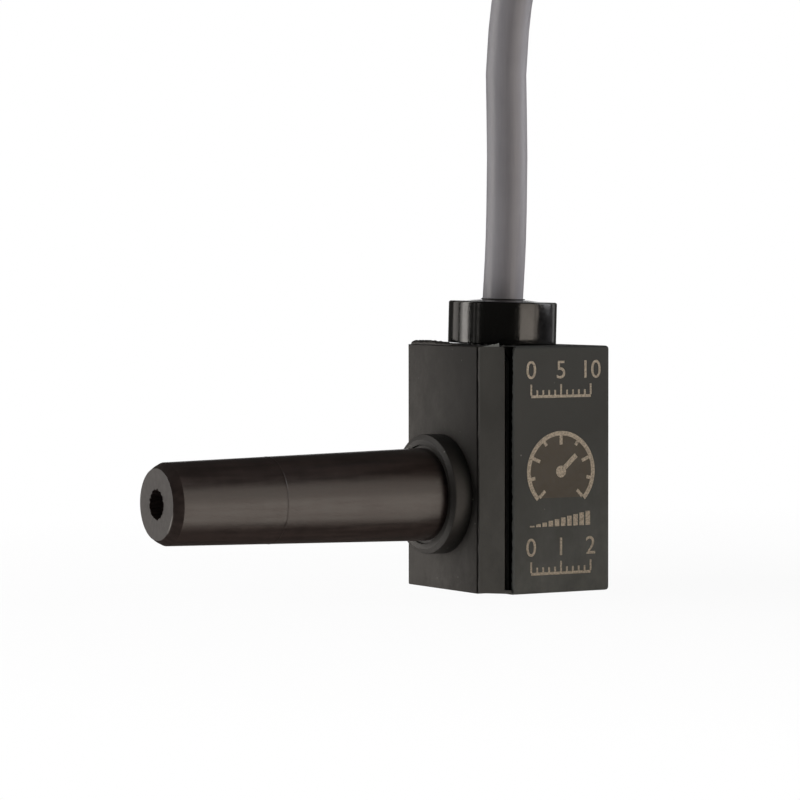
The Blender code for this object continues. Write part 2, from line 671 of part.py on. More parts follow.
def build_cable(materials, root):
    """Free cable: the stretch over to the coil, the coil's outer form, and the stripped end."""
    start = (GLAND_X, MID_Y, LIP_TOP_Z + CABLE_START_GAP)
    cable_length(
        "cable_run", smooth_route((start, *CABLE_ROUTE), CABLE_POINT_SPACING), CABLE_DIAMETER,
        materials["sheath"], root,
    )
    # Turns lie side by side in each layer, and each layer nests in the hollows of the one below
    inner = COIL_MEAN_RADIUS - COIL_COLUMNS * CABLE_DIAMETER / 2
    outer = COIL_MEAN_RADIUS + COIL_COLUMNS * CABLE_DIAMETER / 2
    low = BASE_Z
    high = BASE_Z + CABLE_DIAMETER * (1 + (COIL_LAYERS - 1) * math.sin(math.radians(60)))
    edge = COIL_EDGE_RADIUS
    coil = turned(
        "cable_coil",
        [
            *arc((outer - edge, high - edge), edge, 90, 0, 3),
            *arc((outer - edge, low + edge), edge, 0, -90, 3),
            *arc((inner + edge, low + edge), edge, 270, 180, 3),
            *arc((inner + edge, high - edge), edge, 180, 90, 3),
        ],
        materials["sheath"], root, 72, closed=True,
    )
    coil.location = (*COIL_CENTRE, 0)
    # The end of the last turn lies along the outside of the coil
    turn = Matrix.Rotation(math.radians(TAIL_ANGLE), 4, "Z")
    beside = Vector((outer + CABLE_START_GAP + CABLE_DIAMETER / 2, 0, 0))
    middle = Vector((*COIL_CENTRE, BASE_Z + CABLE_DIAMETER / 2))

    def beside_coil(along, across=0.0):
        return middle + turn @ (beside + Vector((across, along, 0)))

    tail_end = TAIL_START + TAIL_LENGTH
    cable_length(
        "cable_tail", [beside_coil(along) for along in (TAIL_START, TAIL_START + TAIL_LENGTH / 2, tail_end)],
        CABLE_DIAMETER, materials["sheath"], root,
    )
    core_start = tail_end + CELL_GAP
    core_end = core_start + CORE_END_LENGTH
    for index, colour in enumerate(("brown", "black", "blue")):
        start_across = (index - 1) * CORE_END_DIAMETER
        begin = beside_coil(core_start, start_across)
        finish = beside_coil(core_end, start_across + (index - 1) * (CORE_END_SPREAD - CORE_END_DIAMETER / 4))
        cable_length(
            f"end_core_{colour}", [begin, begin.lerp(finish, 0.5), finish], CORE_END_DIAMETER,
            materials[f"core_{colour}"], root,
        )
        along = (finish - begin).normalized()
        wire_start = finish + along * CELL_GAP
        cable_length(
            f"end_wire_{colour}", [wire_start, wire_start + along * WIRE_END_LENGTH], WIRE_END_DIAMETER,
            materials["copper"], root,
        )


def make_materials():
    return {
        "housing": make_material("warm black glass-filled polyamide", (0.045, 0.042, 0.039), 0.55),
        "carrier": make_material("black polyamide carrier", (0.041, 0.039, 0.037), 0.52),
        "gland": make_material("glossy black polyamide ring", (0.010, 0.010, 0.010), 0.16),
        "rubber": make_material("black nitrile rubber", (0.012, 0.012, 0.012), 0.6),
        "sheath": make_material("grey polyurethane sheath", (0.190, 0.188, 0.192), 0.45),
        "resin": make_material("dark potting resin", (0.050, 0.046, 0.042), 0.5),
        "ceramic": make_material("white alumina ceramic", (0.80, 0.79, 0.76), 0.5),
        "silicon": make_material("polished silicon", (0.20, 0.20, 0.24), 0.15, 0.6),
        "tin": make_material("tinned steel cover", (0.62, 0.62, 0.60), 0.3, 1.0),
        "pin": make_material("gold-plated pin", (0.85, 0.62, 0.28), 0.25, 1.0),
        "board": make_material("green solder mask", (0.03, 0.16, 0.06), 0.35),
        "chip": make_material("black moulding compound", (0.02, 0.02, 0.02), 0.5),
        "capacitor": make_material("brown ceramic capacitor", (0.35, 0.24, 0.16), 0.4),
        "solder": make_material("tin solder", (0.70, 0.70, 0.70), 0.25, 1.0),
        "clamp": make_material("stainless clamp ring", (0.60, 0.60, 0.58), 0.3, 1.0),
        "core_brown": make_material("brown core insulation", (0.13, 0.05, 0.025), 0.4),
        "core_black": make_material("black core insulation", (0.015, 0.015, 0.015), 0.4),
        "core_blue": make_material("blue core insulation", (0.02, 0.12, 0.42), 0.4),
        "copper": make_material("tinned copper strand", (0.75, 0.52, 0.38), 0.3, 1.0),
    }


def main():
    clear_scene()
    root = bpy.data.objects.new("pressure_sensor", None)
    bpy.context.scene.collection.objects.link(root)
    materials = make_materials()
    build_port(materials, root)
    build_carrier(materials, root)
    build_shell(materials, root)
    build_bead(materials, root)
    build_cell(materials, root)
    build_board(materials, root)
    build_exit(materials, root)
    build_cable(materials, root)


main()
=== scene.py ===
"""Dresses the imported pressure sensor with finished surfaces, cable and marking, and sets up its studio."""
import math

import bmesh
import bpy
from bpy.props import FloatProperty, FloatVectorProperty, IntProperty, PointerProperty
from mathutils import Matrix, Quaternion, Vector, noise


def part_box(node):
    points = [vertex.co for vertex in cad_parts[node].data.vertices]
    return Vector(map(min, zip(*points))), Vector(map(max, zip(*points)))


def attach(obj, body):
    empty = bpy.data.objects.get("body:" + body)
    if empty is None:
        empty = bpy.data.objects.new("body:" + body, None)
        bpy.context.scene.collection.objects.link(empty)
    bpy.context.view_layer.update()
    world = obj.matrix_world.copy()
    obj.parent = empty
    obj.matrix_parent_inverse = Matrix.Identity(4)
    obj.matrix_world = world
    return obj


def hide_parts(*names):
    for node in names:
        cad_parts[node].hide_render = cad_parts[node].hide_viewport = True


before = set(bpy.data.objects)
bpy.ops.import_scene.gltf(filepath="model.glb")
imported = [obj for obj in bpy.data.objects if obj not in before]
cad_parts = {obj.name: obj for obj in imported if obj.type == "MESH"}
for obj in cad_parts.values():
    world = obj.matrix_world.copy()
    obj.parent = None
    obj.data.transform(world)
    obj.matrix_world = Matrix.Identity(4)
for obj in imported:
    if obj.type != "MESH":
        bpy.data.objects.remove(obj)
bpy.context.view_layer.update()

bl_info = {
    "name": "Pressure sensor dressing",
    "version": (1, 0, 0),
    "blender": (4, 5, 0),
    "location": "3D View > Sidebar > Sensor",
    "description": "Finished surfaces, cable and marking of a small pressure sensor",
    "category": "Object",
}

MM = 0.001

# Sockets that a Mix node has for colours
FACTOR, UNDER, OVER, MIXED = 0, 6, 7, 2
# Noise keeps mostly between these values, so they are the dark and the light end of a pattern
NOISE_ENDS = {"From Min": 0.3, "From Max": 0.7}

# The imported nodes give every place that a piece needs
PORT_LOW, PORT_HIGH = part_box("port_body")
SHELL_LOW, SHELL_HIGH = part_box("shell")
GLAND_LOW, GLAND_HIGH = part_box("gland_ring")
SEAL_LOW, SEAL_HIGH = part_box("cable_seal")
BEAD_LOW, BEAD_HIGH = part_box("resin_bead")
COIL_LOW, COIL_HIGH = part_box("cable_coil")
COIL_CENTRE = (COIL_LOW + COIL_HIGH) / 2
BASE_Z = SHELL_LOW.z
PLATE_X = 1.60 * MM
# The carrier's bevelled strip runs from the plate's seam to the slot beside the shell
SEAM = 0.304 * MM
SLOT = 0.47 * MM
STRIP_START = Vector((PLATE_X, PORT_LOW.y - SEAM, SHELL_HIGH.z))
SHELL_CORNER = Vector((SHELL_LOW.x, SHELL_LOW.y, SHELL_HIGH.z))
STRIP_END = STRIP_START.lerp(SHELL_CORNER, 1 - SLOT / (SHELL_LOW.x - PLATE_X))
# The cable's straight tail lies beside the coil, and its cores start just past the cut sheath
TAIL_GAP = 0.3 * MM
TAIL_START = -1.5 * MM
CORE_GAP = 0.02 * MM
# The sheath goes down into the gland a little below the exit and off its centre
EXIT_SHIFT = Vector((0.03, 0.0, -0.15)) * MM
EXIT = Vector(((GLAND_LOW.x + GLAND_HIGH.x) / 2, (GLAND_LOW.y + GLAND_HIGH.y) / 2, SEAL_HIGH.z))

# The cable's route from the exit to the top of the coil
CABLE_ROUTE = (
    (0.00676, -0.00046, 0.0181), (0.00683, -0.00053, 0.0240), (0.00691, -0.00061, 0.0330),
    (0.00774, -0.00142, 0.0383), (0.01003, -0.00365, 0.0426), (0.01343, -0.00696, 0.0451),
    (0.01726, -0.01070, 0.0454), (0.02082, -0.01417, 0.0433), (0.02354, -0.01682, 0.0395),
    (0.02543, -0.01865, 0.0348), (0.02686, -0.02005, 0.0298), (0.02838, -0.02153, 0.0248),
    (0.03047, -0.02356, 0.0202), (0.03345, -0.02647, 0.0168), (0.03716, -0.03008, 0.0154),
)


def linear(hex_colour):
    """An sRGB hex colour as linear red, green and blue."""
    channels = [int(hex_colour[start:start + 2], 16) / 255 for start in (1, 3, 5)]
    return [c / 12.92 if c <= 0.04045 else ((c + 0.055) / 1.055) ** 2.4 for c in channels]


def size(name, description, default):
    """A length setting."""
    return FloatProperty(name=name, description=description, default=default, unit="LENGTH", precision=5)


def angle(name, description, degrees):
    """An angle setting, given in degrees."""
    return FloatProperty(name=name, description=description, default=math.radians(degrees), subtype="ANGLE")


def colour(name, description, hex_colour):
    """A colour setting, given as an sRGB hex value."""
    return FloatVectorProperty(
        name=name, description=description, default=linear(hex_colour), subtype="COLOR", size=3, min=0, max=1,
    )


class PortSettings(bpy.types.PropertyGroup):
    """Sizes of the plate, collar and sleeve"""
    tip_diameter: size("Tip diameter", "Sleeve behind its lead-in", 5.70 * MM)
    root_diameter: size("Root diameter", "Sleeve at the collar", 6.58 * MM)
    bore_diameter: size("Bore diameter", "Open bore at the end face", 2.10 * MM)
    lead_length: size("Lead-in length", "Bevel at the sleeve's end", 0.68 * MM)
    lead_depth: size("Lead-in depth", "How much the bevel takes off the radius", 0.36 * MM)
    flash_from_tip: size("Flash line", "Mould's parting line from the end face", 8.60 * MM)
    collar_diameter: size("Collar diameter", "Collar on the port plate", 8.52 * MM)
    plate_start: size("Plate start", "Port plate's face from the collar's front", PLATE_X)


class CableSettings(bpy.types.PropertyGroup):
    """Sizes of the cable, its coil and its stripped end"""
    diameter: size("Diameter", "Outside of the sheath", 2.90 * MM)
    columns: IntProperty(name="Columns", description="Turns side by side in a wide layer", default=4)
    layers: IntProperty(name="Layers", description="Layers of turns in the coil", default=8)
    length: size("Length", "Whole cable, from the gland to the stripped end", 3.0)
    core_diameter: size("Core diameter", "Insulated core at the stripped end", 0.90 * MM)
    core_length: size("Core length", "Bared cores at the stripped end", 4.40 * MM)
    wire_diameter: size("Strand bundle", "Bared strands of one core", 0.48 * MM)
    wire_length: size("Strand length", "Bared strands past the insulation", 1.80 * MM)
    tail_length: size("Tail length", "Sheath that lies beside the coil", 8.50 * MM)
    tail_angle: angle("Tail angle", "Where the last turn leaves the coil", -65)
    sheath: colour("Sheath colour", "Grey polyurethane", "#8b8b92")


class HousingSettings(bpy.types.PropertyGroup):
    """Colours of the housing and the line of its marking"""
    body: colour("Housing colour", "Shell and carrier", "#383a39")
    # The plate's colour where no painted light lifts it
    plate: colour("Plate colour", "Port plate and collar, where they are clean", "#232221")
    sleeve: colour("Sleeve colour", "Smooth push-in sleeve", "#2d2523")
    ring: colour("Ring colour", "Gland ring", "#0c0c0b")
    mark: colour("Marking colour", "Laser-foamed surface", "#bdb2a1")
    mark_line: size("Marking line", "Width of a marked line", 0.24 * MM)


class StudioSettings(bpy.types.PropertyGroup):
    """Camera and light levels"""
    focal_length: FloatProperty(name="Focal length", description="Camera lens in millimetres", default=164.9)
    azimuth: angle("Azimuth", "Camera's turn", -30.946)
    elevation: angle("Elevation", "Camera's tilt", 2.119)
    roll: angle("Roll", "Camera's roll", -0.056)
    distance: size("Distance", "Camera to the point that it looks at", 262.316 * MM)
    left_light: FloatProperty(name="Left light", description="Radiance of the left softbox", default=5.0)
    right_light: FloatProperty(name="Right light", description="Radiance of the right panel", default=2.1)
    ambient: FloatProperty(name="Ambient", description="Level of the fill from all round", default=0.18)


def add_node(tree, kind, inputs=None, output=0, feeds=None, **settings):
    """Add a shader node and return one of its outputs, which may feed a socket at once.

    Each input is a value or the output that feeds it.
    """
    node = tree.nodes.new(kind)
    for name, value in settings.items():
        setattr(node, name, value)
    for name, value in (inputs or {}).items():
        if isinstance(value, bpy.types.NodeSocket):
            tree.links.new(value, node.inputs[name])
        else:
            node.inputs[name].default_value = value
    if feeds is not None:
        tree.links.new(node.outputs[output], feeds)
    return node.outputs[output]


def new_material(name, base, roughness, metallic=0.0, **sockets):
    """A Principled material with its constants on the shader's own sockets."""
    material = bpy.data.materials.new(name)
    material.use_nodes = True
    tree = material.node_tree
    shader = tree.nodes["Principled BSDF"]
    shader.inputs["Base Color"].default_value = (*base, 1.0)
    shader.inputs["Roughness"].default_value = roughness
    shader.inputs["Metallic"].default_value = metallic
    for socket, value in sockets.items():
        shader.inputs[socket.replace("_", " ")].default_value = value
    place = add_node(tree, "ShaderNodeTexCoord", output="Object")
    return material, tree, shader, place


def grains(tree, place, width, detail=3.0, stretch=(1.0, 1.0, 1.0), roughness=0.5):
    """A pattern of grains of a real width, longer where stretch is small."""
    scaled = add_node(tree, "ShaderNodeMapping", {"Vector": place, "Scale": stretch})
    settings = {"Vector": scaled, "Scale": 1 / width, "Detail": detail, "Roughness": roughness}
    return add_node(tree, "ShaderNodeTexNoise", settings)


def shaded(tree, pattern, base, low, high, feeds=None):
    """The base colour, multiplied by low to high as the pattern runs from its dark to its light end."""
    dark, light = ((*[min(1.0, channel * level) for channel in base], 1.0) for level in (low, high))
    share = add_node(tree, "ShaderNodeMapRange", {"Value": pattern, **NOISE_ENDS})
    colours = {FACTOR: share, UNDER: dark, OVER: light}
    return add_node(tree, "ShaderNodeMix", colours, MIXED, feeds, data_type="RGBA")


def moulded_polyamide(name, base, roughness, gloss, painted_light, edge=0.0):
    """Glass-filled polyamide from a fine-spark mould: matte warm black with flow clouds, smudges and specks.

    Painted light is given as a direction, the distances along it where it starts and is full, and how much
    lighter it makes the colour; it lies in uneven patches.
    """
    material, tree, shader, place = new_material(name, base, roughness, IOR=1.53, Specular_IOR_Level=gloss)
    # Spark-eroded grain is about 0.03 mm; it is drawn at 0.11 mm so that it shows
    grain = grains(tree, place, 0.11 * MM, 4.0)
    clouds = grains(tree, place, 2.2 * MM, 3.0, (1.0, 1.0, 0.5))
    smudges = grains(tree, place, 1.3 * MM, 7.0, (1.0, 1.0, 0.6), 0.7)
    # Painted light: a lighter copy of the colour is mixed in along the direction, more in some patches than
    # in others
    direction, start, end, lift = painted_light
    along = add_node(tree, "ShaderNodeVectorMath", {0: place, 1: direction}, "Value", operation="DOT_PRODUCT")
    painted_shading_film = add_node(tree, "ShaderNodeMapRange", {"Value": along, "From Min": start, "From Max": end})
    patches = add_node(
        tree, "ShaderNodeMapRange", {"Value": smudges, **NOISE_ENDS, "To Min": 0.68, "To Max": 1.24},
    )
    painted_light_share = add_node(tree, "ShaderNodeMath", {0: painted_shading_film, 1: patches}, operation="MULTIPLY", use_clamp=True)
    unlifted = shaded(tree, clouds, base, 0.90, 1.10)
    painted_lighter = shaded(tree, smudges, [channel * lift for channel in base], 0.89, 1.10)
    surface = add_node(
        tree, "ShaderNodeMix", {FACTOR: painted_light_share, UNDER: unlifted, OVER: painted_lighter}, MIXED, data_type="RGBA",
    )
    # Fibre ends and lint are 0.02 to 0.05 mm across; the specks are drawn at 0.08 mm
    spots = {"Vector": place, "Scale": 1 / (1.3 * MM)}
    from_speck = add_node(tree, "ShaderNodeTexVoronoi", spots, "Distance")
    specks = add_node(
        tree, "ShaderNodeMapRange",
        {"Value": from_speck, "From Min": 0.03, "From Max": 0.06, "To Min": 0.8, "To Max": 0.0},
    )
    add_node(
        tree, "ShaderNodeMix", {FACTOR: specks, UNDER: surface, OVER: (*linear("#73716e"), 1.0)}, MIXED,
        shader.inputs["Base Color"], data_type="RGBA",
    )
    add_node(
        tree, "ShaderNodeMapRange",
        {"Value": clouds, **NOISE_ENDS, "To Min": roughness - 0.05, "To Max": roughness + 0.06},
        feeds=shader.inputs["Roughness"],
    )
    bump = {"Height": grain, "Distance": 0.006 * MM}
    if edge > 0:
        bump["Normal"] = add_node(tree, "ShaderNodeBevel", {"Radius": edge}, samples=6)
    add_node(tree, "ShaderNodeBump", bump, feeds=shader.inputs["Normal"])
    return material


def polished_polyamide(name, base):
    """Unfilled polyamide from a polished mould: glossy black, slightly wavy, with fine pits that glint."""
    material, tree, shader, place = new_material(name, base, 0.08, IOR=1.53)
    waves = grains(tree, place, 1.6 * MM, 2.0)
    handling = grains(tree, place, 0.5 * MM, 5.0, (1.0, 1.0, 0.3))
    # Pits of the polished mould are about 0.02 mm; they are drawn at 0.1 mm
    pits = grains(tree, place, 0.1 * MM, 2.0)
    shaded(tree, waves, base, 0.8, 1.3, shader.inputs["Base Color"])
    add_node(
        tree, "ShaderNodeMapRange", {"Value": handling, **NOISE_ENDS, "To Min": 0.09, "To Max": 0.17},
        feeds=shader.inputs["Roughness"],
    )
    swell = add_node(tree, "ShaderNodeBump", {"Height": waves, "Distance": 0.004 * MM})
    holes = add_node(tree, "ShaderNodeMapRange", {"Value": pits, "From Min": 0.58, "From Max": 0.8})
    add_node(
        tree, "ShaderNodeBump", {"Height": holes, "Distance": 0.004 * MM, "Normal": swell},
        feeds=shader.inputs["Normal"],
    )
    return material


def moulded_rubber(name, base):
    """Moulded nitrile rubber: dull black with a dusty bloom in its hollows."""
    material, tree, shader, place = new_material(name, base, 0.62)
    bloom = grains(tree, place, 0.35 * MM, 4.0)
    shaded(tree, bloom, base, 0.7, 1.9, shader.inputs["Base Color"])
    add_node(tree, "ShaderNodeBump", {"Height": bloom, "Distance": 0.008 * MM}, feeds=shader.inputs["Normal"])
    return material


def extruded_sheath(name, base, axis_stretch):
    """Extruded polyurethane sheath: satin grey with faint lengthwise drawing lines and soft cloudiness."""
    material, tree, shader, place = new_material(name, base, 0.42, IOR=1.5)
    lines = grains(tree, place, 0.16 * MM, 3.0, axis_stretch)
    clouds = grains(tree, place, 3.0 * MM, 2.0)
    soft = add_node(
        tree, "ShaderNodeMapRange", {"Value": clouds, **NOISE_ENDS, "To Min": 0.1, "To Max": 0.45},
    )
    both = add_node(tree, "ShaderNodeMath", {0: lines, 1: 0.45, 2: soft}, operation="MULTIPLY_ADD")
    shaded(tree, both, base, 0.93, 1.07, shader.inputs["Base Color"])
    add_node(
        tree, "ShaderNodeMapRange", {"Value": clouds, **NOISE_ENDS, "To Min": 0.38, "To Max": 0.48},
        feeds=shader.inputs["Roughness"],
    )
    add_node(tree, "ShaderNodeBump", {"Height": lines, "Distance": 0.004 * MM}, feeds=shader.inputs["Normal"])
    return material


def potting_resin(name, base):
    """Potting resin, cured as it was squeezed out: dark grey, lumpy and unevenly dull."""
    material, tree, shader, place = new_material(name, base, 0.5)
    lumps = grains(tree, place, 0.35 * MM, 5.0)
    shaded(tree, lumps, base, 0.6, 1.7, shader.inputs["Base Color"])
    add_node(
        tree, "ShaderNodeMapRange", {"Value": lumps, **NOISE_ENDS, "To Min": 0.35, "To Max": 0.7},
        feeds=shader.inputs["Roughness"],
    )
    add_node(tree, "ShaderNodeBump", {"Height": lumps, "Distance": 0.03 * MM}, feeds=shader.inputs["Normal"])
    return material


def laser_foam(name, base):
    """Polyamide foamed by a laser: matte grey-brown, speckled where the beam's lines overlap or miss."""
    material, tree, shader, place = new_material(name, base, 0.8)
    # The beam's lines are about 0.05 mm apart; the speckle is drawn at 0.1 mm
    speckle = grains(tree, place, 0.1 * MM, 4.0, roughness=0.6)
    contrast = add_node(
        tree, "ShaderNodeMapRange",
        {"Value": speckle, "From Min": 0.38, "From Max": 0.62, "To Min": 0.25, "To Max": 0.75},
    )
    foam = shaded(tree, contrast, base, 0.62, 1.2)
    gaps = grains(tree, place, 0.16 * MM)
    misses = add_node(
        tree, "ShaderNodeMapRange",
        {"Value": gaps, "From Min": 0.30, "From Max": 0.40, "To Min": 0.7, "To Max": 0.0},
    )
    scorched = (*[channel * 0.3 for channel in base], 1.0)
    add_node(
        tree, "ShaderNodeMix", {FACTOR: misses, UNDER: foam, OVER: scorched}, MIXED,
        shader.inputs["Base Color"], data_type="RGBA",
    )
    bump = {"Height": speckle, "Distance": 0.006 * MM}
    add_node(tree, "ShaderNodeBump", bump, feeds=shader.inputs["Normal"])
    return material


def plain_finish(name, base, roughness, metallic, grain, variation, depth, stretch=(1.0, 1.0, 1.0)):
    """A small plain part: its colour and roughness vary with one grain of a real size."""
    material, tree, shader, place = new_material(name, base, roughness, metallic)
    pattern = grains(tree, place, grain, 4.0, stretch)
    shaded(tree, pattern, base, 1 - variation, 1 + variation, shader.inputs["Base Color"])
    smooth, rough = roughness * 0.8, min(1.0, roughness * 1.25)
    add_node(
        tree, "ShaderNodeMapRange", {"Value": pattern, **NOISE_ENDS, "To Min": smooth, "To Max": rough},
        feeds=shader.inputs["Roughness"],
    )
    add_node(tree, "ShaderNodeBump", {"Height": pattern, "Distance": depth}, feeds=shader.inputs["Normal"])
    return material


def add_piece(name, mesh_or_curve, material, slot, *replaced):
    """Put a finished piece in the scene, on the sensor's one body."""
    piece = bpy.data.objects.new(name, mesh_or_curve)
    bpy.context.scene.collection.objects.link(piece)
    mesh_or_curve.materials.append(material)
    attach(piece, "root")
    if replaced:
        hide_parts(*replaced)
    return piece


def smooth_mesh(name, bm, sharp_angle=32):
    """Turn a bmesh into a clean mesh, smooth but for edges sharper than the angle in degrees."""
    bmesh.ops.remove_doubles(bm, verts=bm.verts, dist=1e-7)
    bmesh.ops.recalc_face_normals(bm, faces=bm.faces)
    mesh = bpy.data.meshes.new(name)
    bm.to_mesh(mesh)
    bm.free()
    mesh.shade_smooth()
    mesh.set_sharp_from_angle(angle=math.radians(sharp_angle))
    return mesh


def arc(centre, radius, start, end, steps=8):
    """Points of an arc in a profile, angles in degrees."""
    angles = [math.radians(start + (end - start) * step / steps) for step in range(steps + 1)]
    return [(centre[0] + radius * math.cos(a), centre[1] + radius * math.sin(a)) for a in angles]


def turned(profile, steps=192):
    """Revolve a closed (radius, height) profile round Z."""
    bm = bmesh.new()
    verts = [bm.verts.new((radius, 0.0, height)) for radius, height in profile]
    edges = [bm.edges.new(pair) for pair in zip(verts, verts[1:] + verts[:1])]
    bmesh.ops.spin(
        bm, geom=verts + edges, cent=(0, 0, 0), axis=(0, 0, 1), dvec=(0, 0, 0),
        angle=2 * math.pi, steps=steps, use_merge=True,
    )
    return bm


def skin(bm, rings):
    """Close a row of rings into one body."""
    for near, far in zip(rings, rings[1:]):
        for index in range(len(near)):
            after = (index + 1) % len(near)
            bm.faces.new((near[index], near[after], far[after], far[index]))
    bm.faces.new(rings[0])
    bm.faces.new(rings[-1][::-1])


def finish_node(material, *names):
    """Give carried-over nodes their finished surface."""
    for name in names:
        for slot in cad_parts[name].material_slots:
            slot.material = material


# The camera looks at this point, in the middle of what is seen of the sensor
LOOK_AT = Vector((-0.09, 2.881, 6.616)) * MM


class SENSOR_OT_camera(bpy.types.Operator):
    """Set up the camera at the photograph's viewing angle"""
    bl_idname = "sensor.camera"
    bl_label = "Camera"

    def execute(self, context):
        studio = context.scene.sensor_studio
        flat = math.cos(studio.elevation)
        back = Vector((
            math.sin(studio.azimuth) * flat, -math.cos(studio.azimuth) * flat, math.sin(studio.elevation),
        ))
        data = bpy.data.cameras.new("camera")
        data.lens = studio.focal_length
        data.clip_start = 0.01
        data.clip_end = 20
        camera = bpy.data.objects.new("camera", data)
        context.scene.collection.objects.link(camera)
        camera.location = LOOK_AT + back * studio.distance
        camera.rotation_mode = "QUATERNION"
        camera.rotation_quaternion = (-back).to_track_quat("-Z", "Y") @ Quaternion((0, 0, 1), studio.roll)
        context.scene.camera = camera
        return {"FINISHED"}


def smoothstep(value):
    """Ease from 0 to 1, flat at both ends."""
    value = max(0.0, min(1.0, value))
    return value * value * (3 - 2 * value)


def coil_points(cable, start_angle, top_z):
    """The wound length: a lead-in on top of the coil, then every turn, layer by layer, down to the bottom."""
    diameter = cable.diameter
    mean = (COIL_HIGH.x - COIL_LOW.x - cable.columns * diameter) / 2
    layer_rise = diameter * math.sin(math.radians(60))
    # A turn stays round for half its way and then steps over to the next one
    step_share = 0.5
    points_per_turn = 28
    # The first turn sinks on to the coil over this angle
    lay_down = math.radians(48)

    def at(turn, radius, z):
        """A point of the coil."""
        return (COIL_CENTRE.x + radius * math.cos(turn), COIL_CENTRE.y + radius * math.sin(turn), z)

    turns = []
    for layer in reversed(range(cable.layers)):
        count = cable.columns - layer % 2
        offsets = [(index - (count - 1) / 2) * diameter for index in range(count)]
        if layer % 2:
            offsets.reverse()
        z = BASE_Z + diameter / 2 + layer * layer_rise
        turns += [(mean + offset, z) for offset in offsets]

    first_radius = turns[0][0]
    points = []
    lead_in = cable.tail_angle - start_angle
    lead_steps = 6
    for step in range(1, lead_steps):
        share = step / lead_steps
        points.append(at(start_angle + lead_in * share, first_radius, top_z))
    beside = (turns[-1][0] + diameter + TAIL_GAP, turns[-1][1])
    for (radius, z), (next_radius, next_z) in zip(turns, turns[1:] + [beside]):
        first = (radius, z) == turns[0]
        for step in range(points_per_turn):
            share = step / points_per_turn
            blend = smoothstep((share - 1 + step_share) / step_share)
            wide = radius + (next_radius - radius) * blend
            height = z + (next_z - z) * blend
            if first:
                height += (top_z - z) * (1 - smoothstep(share * 2 * math.pi / lay_down))
            points.append(at(cable.tail_angle + 2 * math.pi * share, wide, height))
    points.append(at(cable.tail_angle, *beside))
    return points


def beside_coil(cable, along, across=0.0):
    """A point along the straight tail, which lies against the outside of the coil."""
    distance = (COIL_HIGH.x - COIL_LOW.x) / 2 + TAIL_GAP + cable.diameter / 2 + across
    outward = Vector((math.cos(cable.tail_angle), math.sin(cable.tail_angle), 0))
    forward = Vector((-outward.y, outward.x, 0))
    place = COIL_CENTRE + outward * distance + forward * along
    return Vector((place.x, place.y, BASE_Z + cable.diameter / 2))


